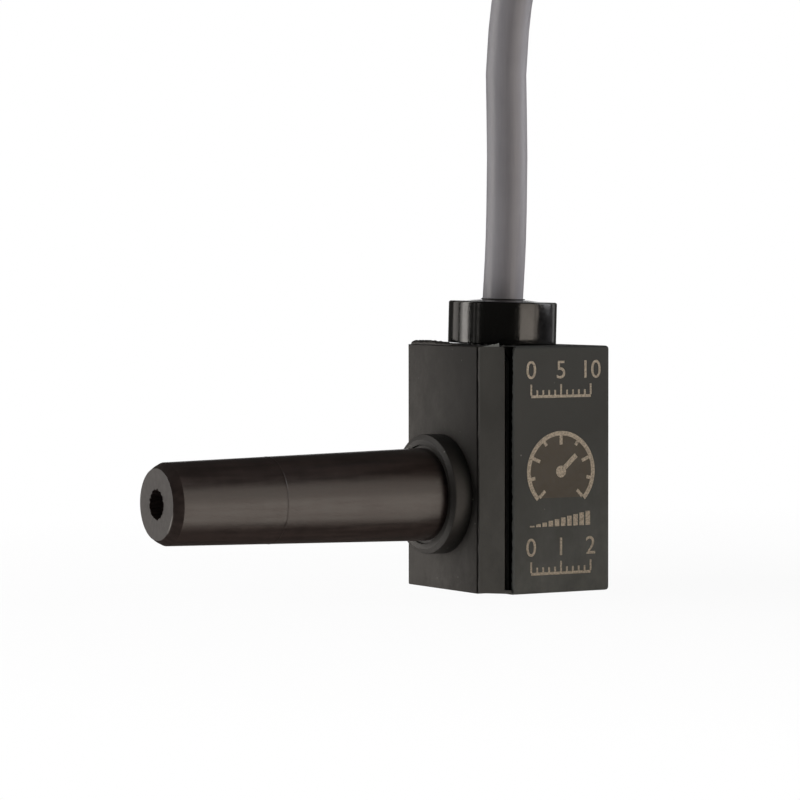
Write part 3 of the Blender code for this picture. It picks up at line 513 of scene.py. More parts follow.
class SENSOR_OT_cable(bpy.types.Operator):
    """Lay the cable from the gland over to its coil, with the stripped end"""
    bl_idname = "sensor.cable"
    bl_label = "Cable"

    def execute(self, context):
        cable = context.scene.sensor_cable
        landing = Vector(CABLE_ROUTE[-1])
        start_angle = math.atan2(landing.y - COIL_CENTRE.y, landing.x - COIL_CENTRE.x)
        wound = coil_points(cable, start_angle, landing.z)
        tail_end = TAIL_START + cable.tail_length
        tail = [beside_coil(cable, tail_end * share) for share in (0.5, 1.0)]
        points = [EXIT + EXIT_SHIFT, *CABLE_ROUTE, *wound, *tail]

        curve = bpy.data.curves.new("cable", "CURVE")
        curve.dimensions = "3D"
        curve.resolution_u = 3
        curve.bevel_depth = cable.diameter / 2
        curve.bevel_resolution = 8
        curve.use_fill_caps = True
        spline = curve.splines.new("BEZIER")
        spline.bezier_points.add(len(points) - 1)
        for slot, point in zip(spline.bezier_points, points):
            slot.co = point
            slot.handle_left_type = "AUTO"
            slot.handle_right_type = "AUTO"
        sheath = extruded_sheath("extruded grey polyurethane", cable.sheath, (1.0, 1.0, 0.06))
        piece = add_piece("cable", curve, sheath, "sheath", "cable_run", "cable_coil", "cable_tail")
        finish_node(sheath, "cable_end")

        for name, hex_colour in (("brown", "#5a3a26"), ("black", "#151515"), ("blue", "#1f4f9a")):
            insulation = plain_finish(
                f"extruded {name} core insulation", linear(hex_colour), 0.38, 0.0, 0.3 * MM, 0.12, 0.003 * MM,
            )
            finish_node(insulation, f"inner_core_{name}")
            self.core_end(cable, name, insulation)
            self.strands(cable, name)
        return {"FINISHED"}

    def fan(self, cable, name):
        """The axis of one core, from the sheath's end to its own."""
        side = {"brown": -1, "black": 0, "blue": 1}[name]
        splay = 1.98
        start = TAIL_START + cable.tail_length + CORE_GAP
        begin = beside_coil(cable, start, side * cable.core_diameter)
        finish = beside_coil(cable, start + cable.core_length, side * cable.core_diameter * splay)
        return begin, finish

    def core_end(self, cable, name, material):
        """One insulated core past the sheath, with its cut edge turned in."""
        begin, finish = self.fan(cable, name)
        radius = cable.core_diameter / 2
        edge = radius * 0.12
        length = (finish - begin).length
        rim = arc((radius - edge, length - edge), edge, 0, 90, 4)
        bm = turned([(0.0, 0.0), (radius, 0.0), *rim, (0.0, length)], 32)
        turn = (finish - begin).to_track_quat("Z", "Y").to_matrix().to_4x4()
        bmesh.ops.transform(bm, matrix=Matrix.Translation(begin) @ turn, verts=bm.verts)
        mesh = smooth_mesh(f"core_end_{name}", bm)
        return add_piece(f"core_end_{name}", mesh, material, f"core_{name}", f"end_core_{name}")

    def strands(self, cable, name):
        """Seven tinned strands in a short twist."""
        start, begin = self.fan(cable, name)
        along = (begin - start).normalized() * cable.wire_length
        up = Vector((0, 0, 1))
        across = along.normalized().cross(up)
        # Six strands lie round a seventh, three across the bundle, and bite into each other a little
        strands_round = 6
        strands_across = 3
        strand = cable.wire_diameter / strands_across / 2
        spacing = 2 * strand * 0.98
        twist = 110
        curve = bpy.data.curves.new(f"strands_{name}", "CURVE")
        curve.dimensions = "3D"
        curve.bevel_depth = strand
        curve.bevel_resolution = 2
        curve.use_fill_caps = True
        steps = 10
        for index in range(strands_round + 1):
            offset = 0.0 if index == strands_round else spacing
            spline = curve.splines.new("POLY")
            spline.points.add(steps)
            for step, slot in enumerate(spline.points):
                share = step / steps
                turn = math.radians(360 / strands_round * index + twist * share)
                point = begin + along * share + offset * (math.cos(turn) * across + math.sin(turn) * up)
                slot.co = (*point, 1.0)
        copper = bpy.data.materials.get("twisted tinned copper") or plain_finish(
            "twisted tinned copper", linear("#c8c2b8"), 0.28, 1.0, 0.12 * MM, 0.1, 0.002 * MM,
        )
        return add_piece(f"strands_{name}", curve, copper, "copper", f"end_wire_{name}")


class SENSOR_OT_port(bpy.types.Operator):
    """Model the port moulding: plate, collar and push-in sleeve"""
    bl_idname = "sensor.port"
    bl_label = "Port moulding"

    def execute(self, context):
        port = context.scene.sensor_port
        tip = PORT_LOW.x
        tip_radius = port.tip_diameter / 2
        root_radius = port.root_diameter / 2
        bore = port.bore_diameter / 2
        collar = port.collar_diameter / 2
        plate_x = port.plate_start
        plate_back = PORT_HIGH.x
        flash = tip + port.flash_from_tip

        def radius_at(x):
            """Radius of the tapered sleeve."""
            return tip_radius + (root_radius - tip_radius) * (x - tip) / -tip

        lead_start = tip_radius - port.lead_depth
        lead_end = tip + port.lead_length
        edge = 0.05 * MM
        bore_draft = 0.04 * MM
        lead_crown = 0.02 * MM
        profile = [(bore - bore_draft, plate_back), *arc((bore + edge, tip + edge), edge, 180, 270, 4)]
        profile += arc((lead_start - edge, tip + edge), edge, 270, 326, 6)
        profile.append(((lead_start + radius_at(lead_end)) / 2 + lead_crown, (tip + lead_end) / 2))
        profile.append((radius_at(lead_end), lead_end))
        # The parting line is a fine ridge that falls off to both sides
        ridge = 0.09 * MM
        ridge_rise = 0.016 * MM
        for shift, proud in ((-2, 0.0), (-0.6, 0.25), (0, 1.0), (0.5, 0.2), (1.4, 0.12), (4, 0.0)):
            x = flash + shift * ridge
            profile.append((radius_at(x) + proud * ridge_rise, x))
        # A narrow groove parts the sleeve from the collar's rounded lip
        root = radius_at(0.0)
        groove = 0.22 * MM
        groove_depth = 0.18 * MM
        lip = 0.04 * MM
        profile += [(root, -0.05 * MM), (root, groove_depth), (root + groove, groove_depth)]
        profile += arc((root + groove + lip, lip), lip, 180, 270, 3)
        # The collar's front edge is a soft chamfer, and its back end lies inside the plate
        chamfer = 0.36 * MM
        chamfer_height = 0.33 * MM
        round_edge = 0.25 * MM
        seat = collar - 0.3 * MM
        profile.append((collar - chamfer, 0.0))
        profile += arc((collar - round_edge, chamfer_height), round_edge, -30, 0, 4)
        profile += [(collar, plate_x + 0.2 * MM), (seat, plate_back)]
        bm = turned(profile)
        bmesh.ops.rotate(bm, verts=bm.verts, matrix=Matrix.Rotation(math.radians(90), 3, "Y"))
        self.roughen_bore(bm, tip, bore + 2 * edge)
        sleeve = smooth_mesh("port_sleeve", bm, 20)
        housing = context.scene.sensor_housing
        add_piece("port_sleeve", sleeve, self.drawn_polyamide(housing.sleeve, tip), "housing", "port_body")
        # The collar is the same moulding, handled less; its colour is the plate's drawn lighter, and painted
        # light lifts its front further, where the sleeve shades it
        collar_plastic = moulded_polyamide(
            "moulded glass-filled polyamide collar", [channel * 1.25 for channel in housing.plate], 0.5, 0.35,
            (Vector((-1, 0.3, -0.15)), -0.9 * MM, 0.9 * MM, 3.0),
        )
        sleeve.materials.append(collar_plastic)
        for face in sleeve.polygons:
            if face.center.x > -0.04 * MM and Vector(face.center.yz).length > root:
                face.material_index = 1
        plate = self.plate(plate_x, plate_back, seat)
        # Painted light grows to the back and to the foot of the plate
        plate_plastic = moulded_polyamide(
            "moulded glass-filled polyamide plate", housing.plate, 0.58, 0.15,
            (Vector((0, 1, -0.5)), -8.5 * MM, 3.0 * MM, 4.1),
        )
        add_piece("port_plate", plate, plate_plastic, "housing")
        self.seam()
        return {"FINISHED"}

    def seam(self):
        """Resin that rose in the seam beside the plate and stands a little unevenly below its face."""
        margin = 0.05 * MM
        low, high = PORT_LOW.z + margin, PORT_HIGH.z - margin
        near, far = PORT_LOW.y + margin, STRIP_START.y - margin
        back = PORT_HIGH.x - 0.2 * MM
        steps = 90
        bm = bmesh.new()
        rings = []
        for step in range(steps + 1):
            z = low + (high - low) * step / steps
            sunk = (0.08 + 0.04 * noise.noise(Vector((z / (0.8 * MM), 3.1, 0.0)))) * MM
            front = PLATE_X + sunk
            section = ((back, near), (front, near), (front + 0.02 * MM, far), (back, far))
            rings.append([bm.verts.new((x, y, z)) for x, y in section])
        skin(bm, rings)
        resin = potting_resin("sunken potting resin", linear("#221f1e"))
        add_piece("seam_resin", smooth_mesh("seam_resin", bm, 50), resin, "resin")

    def drawn_polyamide(self, base, tip):
        """Glass-filled polyamide from a polished mould: satin, with faint rings and scuffs, an end face
        painted darker as painted shade, and a painted highlight on the lead-in's lower edge.
        """
        name = "polished glass-filled polyamide sleeve"
        material, tree, shader, place = new_material(name, base, 0.33, IOR=1.53)
        rings = grains(tree, place, 0.9 * MM, 3.0, (1.0, 0.05, 0.05))
        scuffs = grains(tree, place, 0.35 * MM, 4.0, (0.08, 1.0, 1.0))
        mottle = grains(tree, place, 0.25 * MM, 4.0)
        faint = add_node(
            tree, "ShaderNodeMapRange", {"Value": scuffs, **NOISE_ENDS, "To Min": 0.0, "To Max": 0.5},
        )
        shade = add_node(tree, "ShaderNodeMath", {0: rings, 1: 0.5, 2: faint}, operation="MULTIPLY_ADD")
        along = add_node(tree, "ShaderNodeSeparateXYZ", {"Vector": place}, "X")
        end_face_painted_shade = add_node(
            tree, "ShaderNodeMapRange",
            {"Value": along, "From Min": tip, "From Max": tip + 0.03 * MM, "To Min": 1.0, "To Max": 0.0},
        )
        # The end face lies across the mould's opening and has no drawn rings; its darker colour is painted
        # shade that tones down the strong light on it
        drawn = add_node(
            tree, "ShaderNodeMix",
            {
                FACTOR: end_face_painted_shade, UNDER: shaded(tree, shade, base, 0.74, 1.3),
                OVER: (*[channel * 0.42 for channel in base], 1.0),
            },
            MIXED, data_type="RGBA",
        )
        # Painted highlight: only the lower front of the lead-in's edge is drawn pale
        rim = add_node(
            tree, "ShaderNodeMapRange",
            {
                "Value": along, "From Min": tip + 0.02 * MM, "From Max": tip + 0.07 * MM,
                "To Min": 1.0, "To Max": 0.0,
            },
        )
        low_side = add_node(
            tree, "ShaderNodeVectorMath", {0: place, 1: (0.0, -0.85, -0.5)}, "Value", operation="DOT_PRODUCT",
        )
        outer = add_node(
            tree, "ShaderNodeMapRange", {"Value": low_side, "From Min": 2.25 * MM, "From Max": 2.4 * MM},
        )
        painted_edge_highlight = add_node(tree, "ShaderNodeMath", {0: rim, 1: outer}, operation="MULTIPLY")
        add_node(
            tree, "ShaderNodeMix", {FACTOR: painted_edge_highlight, UNDER: drawn, OVER: (*linear("#6f6c6a"), 1.0)}, MIXED,
            shader.inputs["Base Color"], data_type="RGBA",
        )
        add_node(
            tree, "ShaderNodeMapRange", {"Value": shade, **NOISE_ENDS, "To Min": 0.29, "To Max": 0.40},
            feeds=shader.inputs["Roughness"],
        )
        height = add_node(tree, "ShaderNodeMath", {0: mottle, 1: 0.5, 2: rings}, operation="MULTIPLY_ADD")
        bump = {"Height": height, "Distance": 0.006 * MM}
        add_node(tree, "ShaderNodeBump", bump, feeds=shader.inputs["Normal"])
        return material

    def roughen_bore(self, bm, tip, reach):
        """Flash left round the mouth of the bore, uneven from tooth to tooth."""
        for vert in bm.verts:
            across = Vector((0, vert.co.y, vert.co.z))
            if vert.co.x < tip + 0.2 * MM and across.length < reach:
                turn = math.atan2(vert.co.z, vert.co.y)
                tooth = noise.noise(Vector((math.cos(turn), math.sin(turn), 0.0)) * 5.0)
                vert.co -= across.normalized() * (0.02 + 0.14 * tooth) * MM

    def plate(self, front, back, hole):
        """The flat plate with softly rounded front edges and the sleeve's seat cut through it."""
        # The far edge is filled out with resin up to the carrier, so the plate runs on over it
        low = Vector((front - 0.02 * MM, PORT_LOW.y, PORT_LOW.z))
        high = Vector((back, PORT_HIGH.y + 0.25 * MM, PORT_HIGH.z))
        block = Matrix.Translation((low + high) / 2) @ Matrix.Diagonal((*(high - low), 1.0))
        bm = bmesh.new()
        bmesh.ops.create_cube(bm, size=1.0, matrix=block)
        middle = (low + high) / 2
        far_top = [e for e in bm.edges if all(v.co.y > middle.y and v.co.z > middle.z for v in e.verts)]
        bmesh.ops.bevel(bm, geom=far_top, offset=0.22 * MM, segments=5, profile=0.5, affect="EDGES")
        edges = [e for e in bm.edges if all(v.co.x < (front + back) / 2 for v in e.verts)]
        bmesh.ops.bevel(bm, geom=edges, offset=0.08 * MM, segments=5, profile=0.5, affect="EDGES")
        mesh = smooth_mesh("port_plate", bm)
        return cut_round(mesh, "port_plate", hole, low.x - MM, high.x + MM)


def cut_round(mesh, name, radius, start, end):
    """Cut a round hole along X through a mesh, centred on the sleeve's axis."""
    target = bpy.data.objects.new(name, mesh)
    bm = turned([(0.0, start), (radius, start), (radius, end), (0.0, end)], 96)
    bmesh.ops.rotate(bm, verts=bm.verts, matrix=Matrix.Rotation(math.radians(90), 3, "Y"))
    tool = bpy.data.objects.new("hole guide", smooth_mesh("hole guide", bm))
    for item in (target, tool):
        bpy.context.scene.collection.objects.link(item)
    cut = target.modifiers.new("seat", "BOOLEAN")
    cut.operation = "DIFFERENCE"
    cut.solver = "EXACT"
    cut.object = tool
    bpy.context.view_layer.update()
    result = bpy.data.meshes.new_from_object(target.evaluated_get(bpy.context.evaluated_depsgraph_get()))
    result.name = name
    bpy.data.objects.remove(target)
    bpy.data.objects.remove(tool)
    result.set_sharp_from_angle(angle=math.radians(32))
    result.materials.clear()
    return result


class SENSOR_OT_housing(bpy.types.Operator):
    """Finish the shell and the carrier, and lay the resin bead"""
    bl_idname = "sensor.housing"
    bl_label = "Housing"

    def execute(self, context):
        body = context.scene.sensor_housing.body
        # Painted light makes the shell lighter towards its foot and to the right, standing in for light from
        # below
        shell_base = [channel * 1.06 for channel in body]
        shell = moulded_polyamide(
            "moulded glass-filled polyamide shell", shell_base, 0.68, 0.35,
            (Vector((0.55, 0, -1)), 0.5 * MM, 11 * MM, 2.25),
        )
        # The strip is drawn lighter than the shell: partly its own warmer tone, partly painted light for the
        # light the bevelled strip misses; painted light also lightens it towards its foot
        strip_tone_and_painted_light = [channel * share for channel, share in zip(body, (1.55, 1.45, 1.42))]
        strip_painted_light = (Vector((0, 0, -1)), -6 * MM, 1 * MM, 1.5)
        carrier = moulded_polyamide("moulded polyamide carrier", strip_tone_and_painted_light, 0.62, 0.4, strip_painted_light, 0.05 * MM)
        # Thin flash is drawn out pale
        flash_base = [channel * 4.8 for channel in body]
        flash = moulded_polyamide("thin polyamide flash", flash_base, 0.6, 0.5, strip_painted_light)
        finish_node(shell, "shell")
        finish_node(carrier, "carrier")
        self.bead()
        self.burr(flash, "strip_burr", (0.14, 0.77), 0.26 * MM)
        self.burr(carrier, "slot_burr", (0.85, 0.97), 0.16 * MM)
        self.ragged_edge()
        return {"FINISHED"}

    def burr(self, material, name, shares, height):
        """Flash that stands up from the bevelled strip's top edge and grows towards the slot.

        Shares say which part of the strip it covers.
        """
        strip = STRIP_END - STRIP_START
        thickness = 0.05 * MM
        side = Vector((strip.y, -strip.x, 0)).normalized() * thickness
        root = Vector((0, 0, -0.05 * MM))
        first, last = shares
        steps = 26
        bm = bmesh.new()
        rings = []
        for step in range(steps + 1):
            share = step / steps
            place = STRIP_START + strip * (first + (last - first) * share) - side
            torn = noise.noise(Vector((share * 9, height / MM, 0.7)))
            rise = Vector((0, 0, height * (0.06 + 0.94 * share) * (1 + 0.25 * torn)))
            lean = side * (0.4 + 0.5 * torn)
            foot = place + root
            corners = (foot - side, foot + side * 0.8, place + lean + rise * 0.8, place + rise)
            rings.append([bm.verts.new(corner) for corner in corners])
        skin(bm, rings)
        add_piece(name, smooth_mesh(name, bm, 50), material, "carrier")

    def ragged_edge(self):
        """A black sheet of painted shade along the shell's wall in the slot, which also closes the slot's
        top.
        """
        # Painted shade: the sheet is so dull and dark that the slot looks empty
        resin = plain_finish("black sheet of painted slot shade", linear("#030303"), 0.9, 0.0, 0.2 * MM, 0.3, 0.01 * MM)
        resin.node_tree.nodes["Principled BSDF"].inputs["Specular IOR Level"].default_value = 0.04
        bm = bmesh.new()
        self.wall_film(bm)
        self.top_film(bm)
        add_piece("slot_painted_shade", smooth_mesh("slot_painted_shade", bm, 60), resin, "resin")

    def wall_film(self, bm):
        """A thin black sheet of painted shade on the shell's wall, with a ragged edge, that widens into a
        plug at the top.
        """
        top = SHELL_HIGH.z - 0.03 * MM
        low = SHELL_LOW.z + 0.3 * MM
        painted_shading_film = 0.012 * MM
        bite = 0.02 * MM
        inner, deep = 0.36 * MM, 0.7 * MM
        steps = 170
        rings = []
        for step in range(steps + 1):
            z = low + (top - low) * step / steps
            fine = noise.noise(Vector((z / (0.3 * MM), 1.3, 0.0)))
            broad = noise.noise(Vector((z / (1.6 * MM), 1.3, 5.0)))
            near_top = max(0.0, (z - top) / (4.0 * MM) + 1.0)
            edge = (0.30 - 0.13 * fine - 0.06 * broad - 0.09 * near_top) * MM
            left = -0.015 * MM - (SLOT - 0.045 * MM) * smoothstep((z - top) / (0.9 * MM) + 1.2)
            section = (
                (left, deep), (left, inner), (-painted_shading_film, inner - 0.01 * MM),
                (-painted_shading_film, edge), (bite, edge), (bite, deep),
            )
            rings.append([bm.verts.new((SHELL_LOW.x + x, SHELL_LOW.y + y, z)) for x, y in section])
        skin(bm, rings)

    def top_film(self, bm):
        """A torn black sheet of painted shade that lies over the slot on the top face."""
        steps = 40
        depth = 2.9 * MM
        low, high = SHELL_HIGH.z - 0.04 * MM, SHELL_HIGH.z + 0.015 * MM
        rings = []
        for step in range(steps + 1):
            y = SHELL_LOW.y - 0.01 * MM + step / steps * depth
            torn = noise.noise(Vector((y / (0.4 * MM), 2.0, 0.0))) * 0.1 * MM
            left, right = SHELL_LOW.x - SLOT - 0.08 * MM + torn, SHELL_LOW.x + 0.12 * MM + torn
            section = ((left, low), (left, high), (right, high), (right, low))
            rings.append([bm.verts.new((x, y, z)) for x, z in section])
        skin(bm, rings)

    def bead(self):
        """Resin squeezed out over the plate's top edge, lumpy along its length."""
        stations = 60
        around = 14
        start = BEAD_HIGH.y + 0.08 * MM
        length = BEAD_HIGH.y - BEAD_LOW.y
        half = (BEAD_HIGH.x - BEAD_LOW.x) / 2
        middle = (BEAD_HIGH.x + BEAD_LOW.x) / 2
        rise = BEAD_HIGH.z - BEAD_LOW.z
        bm = bmesh.new()
        rings = []
        for station in range(stations + 1):
            share = station / stations
            y = start - share * length
            swell = math.sin(math.pi * share ** 0.5) ** 0.6 if 0 < share < 1 else 0.0
            ring = []
            for step in range(around + 1):
                angle = math.pi * step / around
                spot = Vector((y, math.cos(angle) * half, 0.0)) / MM
                lump = 1 + 0.26 * noise.noise(spot * 2.0) + 0.3 * noise.noise(spot * 6.5)
                height = min(rise, rise * (0.25 + 0.7 * swell) * lump * math.sin(angle))
                x = middle + half * math.cos(angle) * (0.82 + 0.16 * swell)
                ring.append(bm.verts.new((x, y, BEAD_LOW.z + max(0.0, height))))
            rings.append(ring)
        skin(bm, rings)
        resin = potting_resin("squeezed-out potting resin", linear("#2c2a28"))
        add_piece("bead", smooth_mesh("bead", bm, 60), resin, "resin", "resin_bead")


class SENSOR_OT_gland(bpy.types.Operator):
    """Turn the gland ring and its rubber seal lip"""
    bl_idname = "sensor.gland"
    bl_label = "Gland ring"

    def execute(self, context):
        cable = context.scene.sensor_cable
        radius = (GLAND_HIGH.x - GLAND_LOW.x) / 2
        top = GLAND_HIGH.z
        seat = SHELL_HIGH.z + 0.10 * MM
        grip = cable.diameter / 2 + 0.04 * MM
        lip = grip + 0.08 * MM
        hole = lip + 0.04 * MM
        edge = 0.14 * MM
        neck = 2.4 * MM
        boss = 2.65 * MM
        boss_rise = 0.14 * MM
        rim = 0.05 * MM
        hole_foot = SEAL_LOW.z - 0.04 * MM
        profile = [
            *arc((hole + rim, top + boss_rise - rim), rim, 180, 90, 4),
            (boss - 0.1 * MM, top + 0.03 * MM), (boss, top),
            *arc((radius - edge, top - edge), edge, 90, 0, 8),
            *arc((radius - edge / 2, seat + edge / 2), edge / 2, 0, -90, 6),
            (neck, seat), (neck, GLAND_LOW.z + edge), (grip, GLAND_LOW.z + edge),
            (grip, hole_foot), (hole, hole_foot),
        ]
        ring = smooth_mesh("gland", turned(profile))
        lean = self.lean((seat + top) / 2)
        ring.transform(lean)
        glossy = polished_polyamide("polished black polyamide", context.scene.sensor_housing.ring)
        add_piece("gland", ring, glossy, "gland", "gland_ring")

        fold = (lip - grip) * 0.45
        lip_top = SEAL_HIGH.z - 0.08 * MM
        profile = [
            (grip, SEAL_LOW.z), (lip, SEAL_LOW.z),
            *arc((lip - fold, lip_top - fold), fold, 0, 90, 5),
            *arc((grip + fold, lip_top - fold), fold, 90, 180, 5),
        ]
        seal = smooth_mesh("seal_lip", turned(profile))
        seal.transform(lean)
        rubber = moulded_rubber("moulded nitrile rubber", linear("#1c1c1c"))
        add_piece("seal_lip", seal, rubber, "rubber", "cable_seal")
        finish_node(rubber, "port_seal")
        return {"FINISHED"}

    def lean(self, pivot):
        """The ring sits a little askew, leaning the way the cable pulls."""
        across = Vector((0.514, 0.858, 0))
        tilt = Matrix.Rotation(math.radians(1.4), 4, across)
        return Matrix.Translation((EXIT.x, EXIT.y, pivot)) @ tilt @ Matrix.Translation((0, 0, -pivot))


# Marks stand this far out of the face and reach as far into it
MARK_DEPTH = 0.006 * MM


class SENSOR_OT_marking(bpy.types.Operator):
    """Mark the wide face with plain scales and numbers"""
    bl_idname = "sensor.marking"
    bl_label = "Marking"

    def execute(self, context):
        line = context.scene.sensor_housing.mark_line
        middle = SHELL_LOW.x + 3.90 * MM
        dial_z = 1.75 * MM
        scale_width = 5.0 * MM
        bm = bmesh.new()
        self.scale(bm, middle, 7.05 * MM, scale_width, (0, 5, 10), line * 0.8)
        self.gauge(bm, middle, dial_z, 2.85 * MM, line)
        self.wedge(bm, middle, -2.10 * MM, 5.2 * MM, 1.0 * MM)
        self.scale(bm, middle, -5.40 * MM, scale_width, (0, 1, 2), line * 0.8)
        mark = context.scene.sensor_housing.mark
        foam = laser_foam("laser-foamed polyamide", mark)
        add_piece("marking", smooth_mesh("marking", bm, 20), foam, "housing")

        bm = bmesh.new()
        steps = 40
        ground = [self.around(middle, dial_z, 2.6 * MM, step / steps) for step in range(steps + 1)]
        self.prism(bm, ground, 0.003 * MM)
        scorched = [channel * 0.17 for channel in mark]
        scorch = plain_finish("laser-scorched polyamide", scorched, 0.75, 0.0, 0.3 * MM, 0.12, 0.004 * MM)
        add_piece("dial_ground", smooth_mesh("dial_ground", bm, 20), scorch, "housing")
        return {"FINISHED"}

    def around(self, x, z, distance, share):
        """A point of the dial, which sweeps from its lower left over the top to its lower right."""
        turn = math.radians(225 - 270 * share)
        return (x + distance * math.cos(turn), z + distance * math.sin(turn))

    def stroke(self, bm, start, end, line):
        """A straight marked line between two (x, z) points."""
        a, b = Vector(start), Vector(end)
        along = (b - a).normalized()
        side = Vector((-along.y, along.x)) * line / 2
        self.prism(bm, [a + side, b + side, b - side, a - side])

    def prism(self, bm, corners, proud=MARK_DEPTH):
        """A flat mark with the given (x, z) outline, let into the face and just proud of it."""
        front = [bm.verts.new((x, SHELL_LOW.y - proud, z)) for x, z in corners]
        rear = [bm.verts.new((x, SHELL_LOW.y + MARK_DEPTH, z)) for x, z in corners]
        bm.faces.new(front)
        bm.faces.new(rear[::-1])
        for index in range(len(corners)):
            after = (index + 1) % len(corners)
            bm.faces.new((front[index], rear[index], rear[after], front[after]))

    def scale(self, bm, middle, z, width, values, line):
        """A ruled line with ten divisions and a number over each long tick."""
        divisions = 10
        long_tick, short_tick = 0.85 * MM, 0.45 * MM
        number_rise, number_height = 1.8 * MM, 1.3 * MM
        self.stroke(bm, (middle - width / 2, z), (middle + width / 2, z), line)
        for index in range(divisions + 1):
            x = middle + width * (index / divisions - 0.5)
            long = index % (divisions // 2) == 0
            self.stroke(bm, (x, z + line / 2), (x, z + (long_tick if long else short_tick)), line * 0.75)
            if long:
                value = values[index // (divisions // 2)]
                self.number(bm, str(value), x, z + number_rise, number_height)

    def wedge(self, bm, middle, z, width, height):
        """A filled wedge in ten steps that grow to the right."""
        steps = 10
        pitch = width / steps
        bar = pitch * 0.72
        for index in range(steps):
            left = middle - width / 2 + index * pitch
            top = z + height * (index + 1) / steps
            self.prism(bm, [(left, z), (left, top), (left + bar, top), (left + bar, z)])

    def gauge(self, bm, x, z, radius, line):
        """A dial with its ticks and pointer."""
        steps = 60
        inside = radius - line * 1.3
        rim = [self.around(x, z, radius, step / steps) for step in range(steps + 1)]
        rim += [self.around(x, z, inside, step / steps) for step in reversed(range(steps + 1))]
        self.prism(bm, rim)
        long_tick, short_tick = 0.95 * MM, 0.65 * MM
        ticks = 8
        for index in range(ticks + 1):
            depth = short_tick if index % 2 else long_tick
            ends = [self.around(x, z, distance, index / ticks) for distance in (inside, radius - depth)]
            self.stroke(bm, *ends, line)
        hub = 0.42 * MM
        corners = 24
        turns = [2 * math.pi * corner / corners for corner in range(corners)]
        self.prism(bm, [(x + hub * math.cos(turn), z + hub * math.sin(turn)) for turn in turns])
        reading = 0.68
        pointer = [self.around(x, z, distance, reading) for distance in (hub, radius - 1.15 * MM)]
        self.stroke(bm, *pointer, line * 1.5)

    def number(self, bm, text, x, z, height):
        """A plain number in the built-in face, centred on x."""
        curve = bpy.data.curves.new("numbers", "FONT")
        curve.body = text
        curve.align_x = "CENTER"
        curve.align_y = "CENTER"
        # Digits are lower than the nominal size of the face, so it is set this much larger
        curve.size = height * 1.38
        curve.extrude = MARK_DEPTH
        curve.offset = 0.004 * MM
        item = bpy.data.objects.new("numbers", curve)
        bpy.context.scene.collection.objects.link(item)
        bpy.context.view_layer.update()
        mesh = bpy.data.meshes.new_from_object(item.evaluated_get(bpy.context.evaluated_depsgraph_get()))
        mesh.transform(Matrix.Translation((x, SHELL_LOW.y, z)) @ Matrix.Rotation(math.radians(90), 4, "X"))
        bm.from_mesh(mesh)
        bpy.data.objects.remove(item)
        bpy.data.meshes.remove(mesh)


# Inside finishes: how the nodes' names begin, what the finish is, its colour, roughness and metallic value,
# its grain in mm, how much the colour varies, the relief in mm and how the grain is stretched
EVEN = (1.0, 1.0, 1.0)
INSIDE_FINISHES = (
    # Chalky white with a faint sinter speckle
    ("cell_header", "fired alumina ceramic", "#e6e3da", 0.5, 0.0, 0.2, 0.04, 0.004, EVEN),
    # A dark bluish mirror
    ("cell_die", "polished silicon", "#6a6c76", 0.12, 0.6, 0.5, 0.08, 0.0005, EVEN),
    # Bright, with drawing lines along it
    ("cell_cover", "drawn tinned steel", "#cfcdc8", 0.3, 1.0, 0.2, 0.07, 0.002, (0.1, 1.0, 1.0)),
    # Warm yellow with a soft plated grain
    ("cell_pin_", "gold-plated pin", "#e2b45e", 0.25, 1.0, 0.1, 0.06, 0.001, EVEN),
    # Glossy green that lies in slight waves
    ("circuit_board", "green solder mask", "#1f6b3a", 0.3, 0.0, 0.4, 0.15, 0.01, EVEN),
    # Dull black with a fine filler grain
    ("amplifier_chip", "moulded epoxy compound", "#1b1b1c", 0.5, 0.0, 0.1, 0.2, 0.006, EVEN),
    # Tan and slightly shiny
    ("capacitor_", "fired ceramic capacitor", "#a08263", 0.4, 0.0, 0.12, 0.1, 0.003, EVEN),
    # Shiny grey with a wrinkled skin
    ("solder_joint_", "reflowed tin solder", "#cdcdd0", 0.22, 1.0, 0.15, 0.08, 0.004, EVEN),
    # Bright, with fine tool marks round it
    ("cable_clamp", "turned stainless steel", "#bab8b4", 0.28, 1.0, 0.08, 0.08, 0.002, (1.0, 1.0, 8.0)),
)


class SENSOR_OT_inside(bpy.types.Operator):
    """Finish the pressure cell, the board and the clamp inside the housing"""
    bl_idname = "sensor.inside"
    bl_label = "Inside parts"

    def execute(self, context):
        for start, finish, hex_colour, *values in INSIDE_FINISHES:
            roughness, metallic, grain, variation, depth, stretch = values
            nodes = [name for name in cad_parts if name.startswith(start)]
            material = plain_finish(
                finish, linear(hex_colour), roughness, metallic, grain * MM, variation, depth * MM, stretch,
            )
            finish_node(material, *nodes)
        return {"FINISHED"}


# Soft lights: name, azimuth, width, lower and upper edge in degrees, share of the side's level, colour
LEFT_LIGHTS = (
    ("left_softbox", -119.2, 16.4, (-48, 42), 1.0, "#fffaf4"),
    ("left_softbox_edge", -131, 6.5, (-48, 42), 0.38, "#fffaf4"),
    ("left_back_panel", -152, 21, (-45, 45), 0.21, "#fff8f2"),
    ("left_line_back", -95.3, 1.6, (-40, 40), 0.3, "#fffaf4"),
    ("left_line_front", -85.6, 2.0, (-40, 40), 0.36, "#fffaf4"),
)
RIGHT_LIGHTS = (
    ("right_panel_low", 22.5, 34, (-52, 4), 1.25, "#fff3e6"),
    ("right_panel_high", 22.5, 34, (4, 38), 0.72, "#fff3e6"),
    ("right_side_low", 50, 18, (-52, 4), 0.85, "#fff3e6"),
    ("right_side_high", 50, 18, (4, 38), 0.5, "#fff3e6"),
    ("right_flank_panel", 72, 34, (-5, 42), 1.2, "#fbfbff"),
    ("right_edge_panel", 104, 16, (-40, 40), 0.25, "#ffffff"),
)


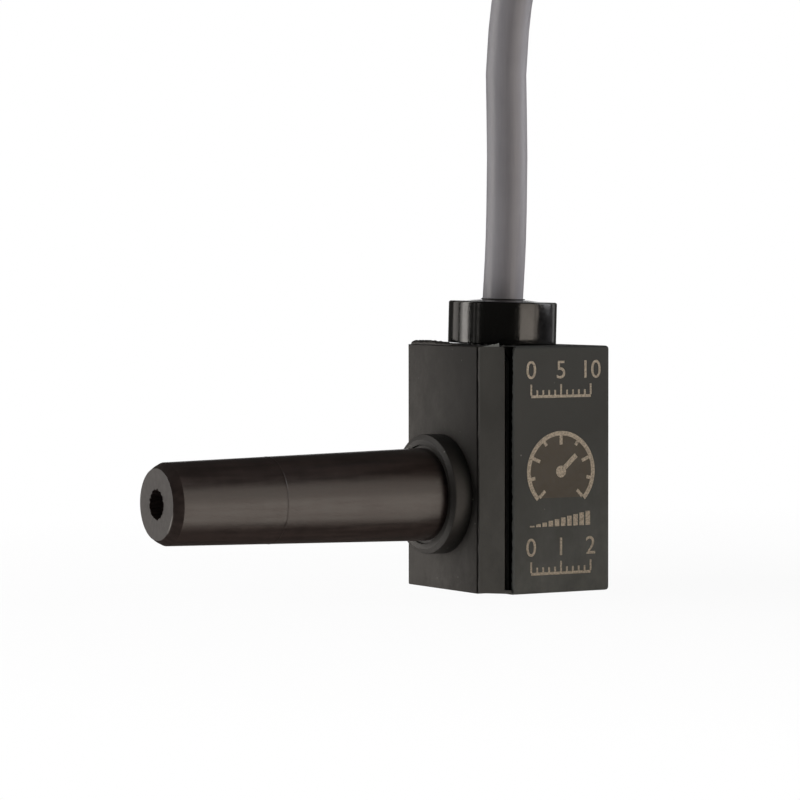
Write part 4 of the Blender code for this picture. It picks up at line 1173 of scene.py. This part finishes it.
class SENSOR_OT_stage(bpy.types.Operator):
    """Set up the floor, the backdrop, the black cards and the soft lights on both sides"""
    bl_idname = "sensor.stage"
    bl_label = "Studio"

    def execute(self, context):
        studio = context.scene.sensor_studio
        self.world(context.scene, studio.ambient)
        self.floor()
        self.black_cards()
        for lights, level in ((LEFT_LIGHTS, studio.left_light), (RIGHT_LIGHTS, studio.right_light)):
            for name, azimuth, width, elevations, share, hex_colour in lights:
                self.panel(name, azimuth, width, elevations, level * share, hex_colour)
        context.scene.view_settings.view_transform = "Standard"
        return {"FINISHED"}

    def any_ray(self, tree, *kinds):
        """1 for the named kinds of ray, 0 for the rest."""
        path = add_node(tree, "ShaderNodeLightPath").node
        found = path.outputs[f"Is {kinds[0]} Ray"]
        for kind in kinds[1:]:
            either = {0: found, 1: path.outputs[f"Is {kind} Ray"]}
            found = add_node(tree, "ShaderNodeMath", either, operation="MAXIMUM")
        return found

    def world(self, scene, ambient):
        """White where it is seen or mirrored, and a soft fill that is stronger from below."""
        world = bpy.data.worlds.new("studio")
        scene.world = world
        world.use_nodes = True
        tree = world.node_tree
        background = tree.nodes["Background"]
        background.inputs["Color"].default_value = (*linear("#ffffff"), 1.0)
        seen = self.any_ray(tree, "Camera", "Glossy", "Transmission")
        towards = add_node(tree, "ShaderNodeTexCoord", output="Generated")
        upward = add_node(tree, "ShaderNodeSeparateXYZ", {"Vector": towards}, "Z")
        below, above = ambient * 1.25, ambient * 0.2
        fill = add_node(
            tree, "ShaderNodeMapRange",
            {"Value": upward, "From Min": -0.2, "From Max": 0.5, "To Min": below, "To Max": above},
        )
        strength = background.inputs["Strength"]
        add_node(tree, "ShaderNodeMath", {0: fill, 1: seen}, feeds=strength, operation="MAXIMUM")

    def floor(self):
        """A small white table that keeps the shadow and fades into the white round it.

        It is translucent, so light and reflections also come from below.
        """
        bm = bmesh.new()
        bmesh.ops.create_circle(bm, cap_ends=True, segments=96, radius=0.22)
        mesh = bpy.data.meshes.new("floor")
        bm.to_mesh(mesh)
        bm.free()
        floor = bpy.data.objects.new("floor", mesh)
        bpy.context.scene.collection.objects.link(floor)
        floor.location = (0.02, -0.01, BASE_Z - 0.01 * MM)
        material = bpy.data.materials.new("white table")
        material.use_nodes = True
        tree = material.node_tree
        tree.nodes.remove(tree.nodes["Principled BSDF"])
        place = add_node(tree, "ShaderNodeTexCoord", output="Object")
        reach = add_node(tree, "ShaderNodeVectorMath", {0: place}, "Value", operation="LENGTH")
        fade = add_node(
            tree, "ShaderNodeMapRange",
            {"Value": reach, "From Min": 0.01, "From Max": 0.09, "To Min": 0.95, "To Max": 1.0},
        )
        seen = self.any_ray(tree, "Camera", "Glossy", "Transmission", "Shadow")
        clear = add_node(tree, "ShaderNodeMath", {0: fade, 1: seen}, operation="MULTIPLY")
        matte = add_node(tree, "ShaderNodeBsdfDiffuse", {"Color": (*linear("#f3f3f3"), 1.0)})
        through = add_node(tree, "ShaderNodeBsdfTransparent")
        surface = tree.nodes["Material Output"].inputs["Surface"]
        add_node(tree, "ShaderNodeMixShader", {0: clear, 1: matte, 2: through}, feeds=surface)
        mesh.materials.append(material)

    def black_cards(self):
        """Black card all round, with a low opening behind the sensor, keeps stray white out of the gloss."""
        radius, height, steps = 0.8, 0.9, 96
        gap_middle, gap_half = math.radians(149), math.radians(9)
        sill, lintel = (radius * math.tan(math.radians(angle)) for angle in (-2, 13))
        bm = bmesh.new()

        def wall(start, sweep, low, high):
            """A bent sheet of card between two heights."""
            edges = []
            for step in range(steps + 1):
                turn = start + sweep * step / steps
                x, y = radius * math.sin(turn), -radius * math.cos(turn)
                edges.append((bm.verts.new((x, y, low)), bm.verts.new((x, y, high))))
            for near, far in zip(edges, edges[1:]):
                bm.faces.new((near[0], far[0], far[1], near[1]))

        wall(gap_middle + gap_half, 2 * math.pi - 2 * gap_half, -height, height)
        wall(gap_middle - gap_half, 2 * gap_half, -height, sill)
        wall(gap_middle - gap_half, 2 * gap_half, lintel, height)
        for level in (-height, height):
            bmesh.ops.create_circle(
                bm, cap_ends=True, segments=steps, radius=radius, matrix=Matrix.Translation((0, 0, level)),
            )
        mesh = bpy.data.meshes.new("black_cards")
        bm.to_mesh(mesh)
        bm.free()
        cards = bpy.data.objects.new("black_cards", mesh)
        bpy.context.scene.collection.objects.link(cards)
        cards.visible_camera = False
        cards.visible_diffuse = False
        cards.visible_shadow = False
        material = bpy.data.materials.new("matte black card")
        material.use_nodes = True
        shader = material.node_tree.nodes["Principled BSDF"]
        shader.inputs["Base Color"].default_value = (*linear("#4c4c4c"), 1.0)
        shader.inputs["Roughness"].default_value = 0.9
        mesh.materials.append(material)

    def panel(self, name, azimuth, spread_angle, elevations, radiance, hex_colour, distance=0.6):
        """A rectangular light that fills the given angles as seen from the sensor."""
        turn = math.radians(azimuth)
        low, high = (distance * math.tan(math.radians(angle)) for angle in elevations)
        width = 2 * distance * math.tan(math.radians(spread_angle / 2))
        lamp = bpy.data.lights.new(name, "AREA")
        lamp.shape = "RECTANGLE"
        lamp.size = width
        lamp.size_y = high - low
        lamp.energy = radiance * math.pi * width * (high - low)
        lamp.color = linear(hex_colour)
        item = bpy.data.objects.new(name, lamp)
        bpy.context.scene.collection.objects.link(item)
        outward = Vector((math.sin(turn), -math.cos(turn), 0))
        item.location = outward * distance + Vector((0, 0, (low + high) / 2))
        item.rotation_euler = outward.to_track_quat("Z", "Y").to_euler()
        item.visible_camera = False


OPERATORS = (
    SENSOR_OT_camera, SENSOR_OT_cable, SENSOR_OT_port, SENSOR_OT_housing, SENSOR_OT_gland,
    SENSOR_OT_marking, SENSOR_OT_inside, SENSOR_OT_stage,
)


class SENSOR_PT_panel(bpy.types.Panel):
    """Steps that dress the sensor"""
    bl_idname = "SENSOR_PT_panel"
    bl_label = "Pressure sensor"
    bl_space_type = "VIEW_3D"
    bl_region_type = "UI"
    bl_category = "Sensor"

    def draw(self, context):
        scene = context.scene
        for group in (scene.sensor_port, scene.sensor_housing, scene.sensor_cable, scene.sensor_studio):
            box = self.layout.box()
            for name in group.__annotations__:
                box.prop(group, name)
        for operator in OPERATORS:
            self.layout.operator(operator.bl_idname)


SETTINGS = (
    ("sensor_port", PortSettings), ("sensor_housing", HousingSettings),
    ("sensor_cable", CableSettings), ("sensor_studio", StudioSettings),
)


def register():
    """Add the settings, operators and panel to the running session."""
    for name, group in SETTINGS:
        bpy.utils.register_class(group)
        setattr(bpy.types.Scene, name, PointerProperty(type=group))
    for item in (*OPERATORS, SENSOR_PT_panel):
        bpy.utils.register_class(item)


def unregister():
    """Take the settings, operators and panel out again."""
    for item in (SENSOR_PT_panel, *reversed(OPERATORS)):
        bpy.utils.unregister_class(item)
    for name, group in reversed(SETTINGS):
        delattr(bpy.types.Scene, name)
        bpy.utils.unregister_class(group)


def main():
    """Dress the sensor step by step."""
    register()
    bpy.ops.sensor.camera()
    bpy.ops.sensor.cable()
    bpy.ops.sensor.port()
    bpy.ops.sensor.housing()
    bpy.ops.sensor.gland()
    bpy.ops.sensor.marking()
    bpy.ops.sensor.inside()
    bpy.ops.sensor.stage()


if __name__ == "__main__":
    main()
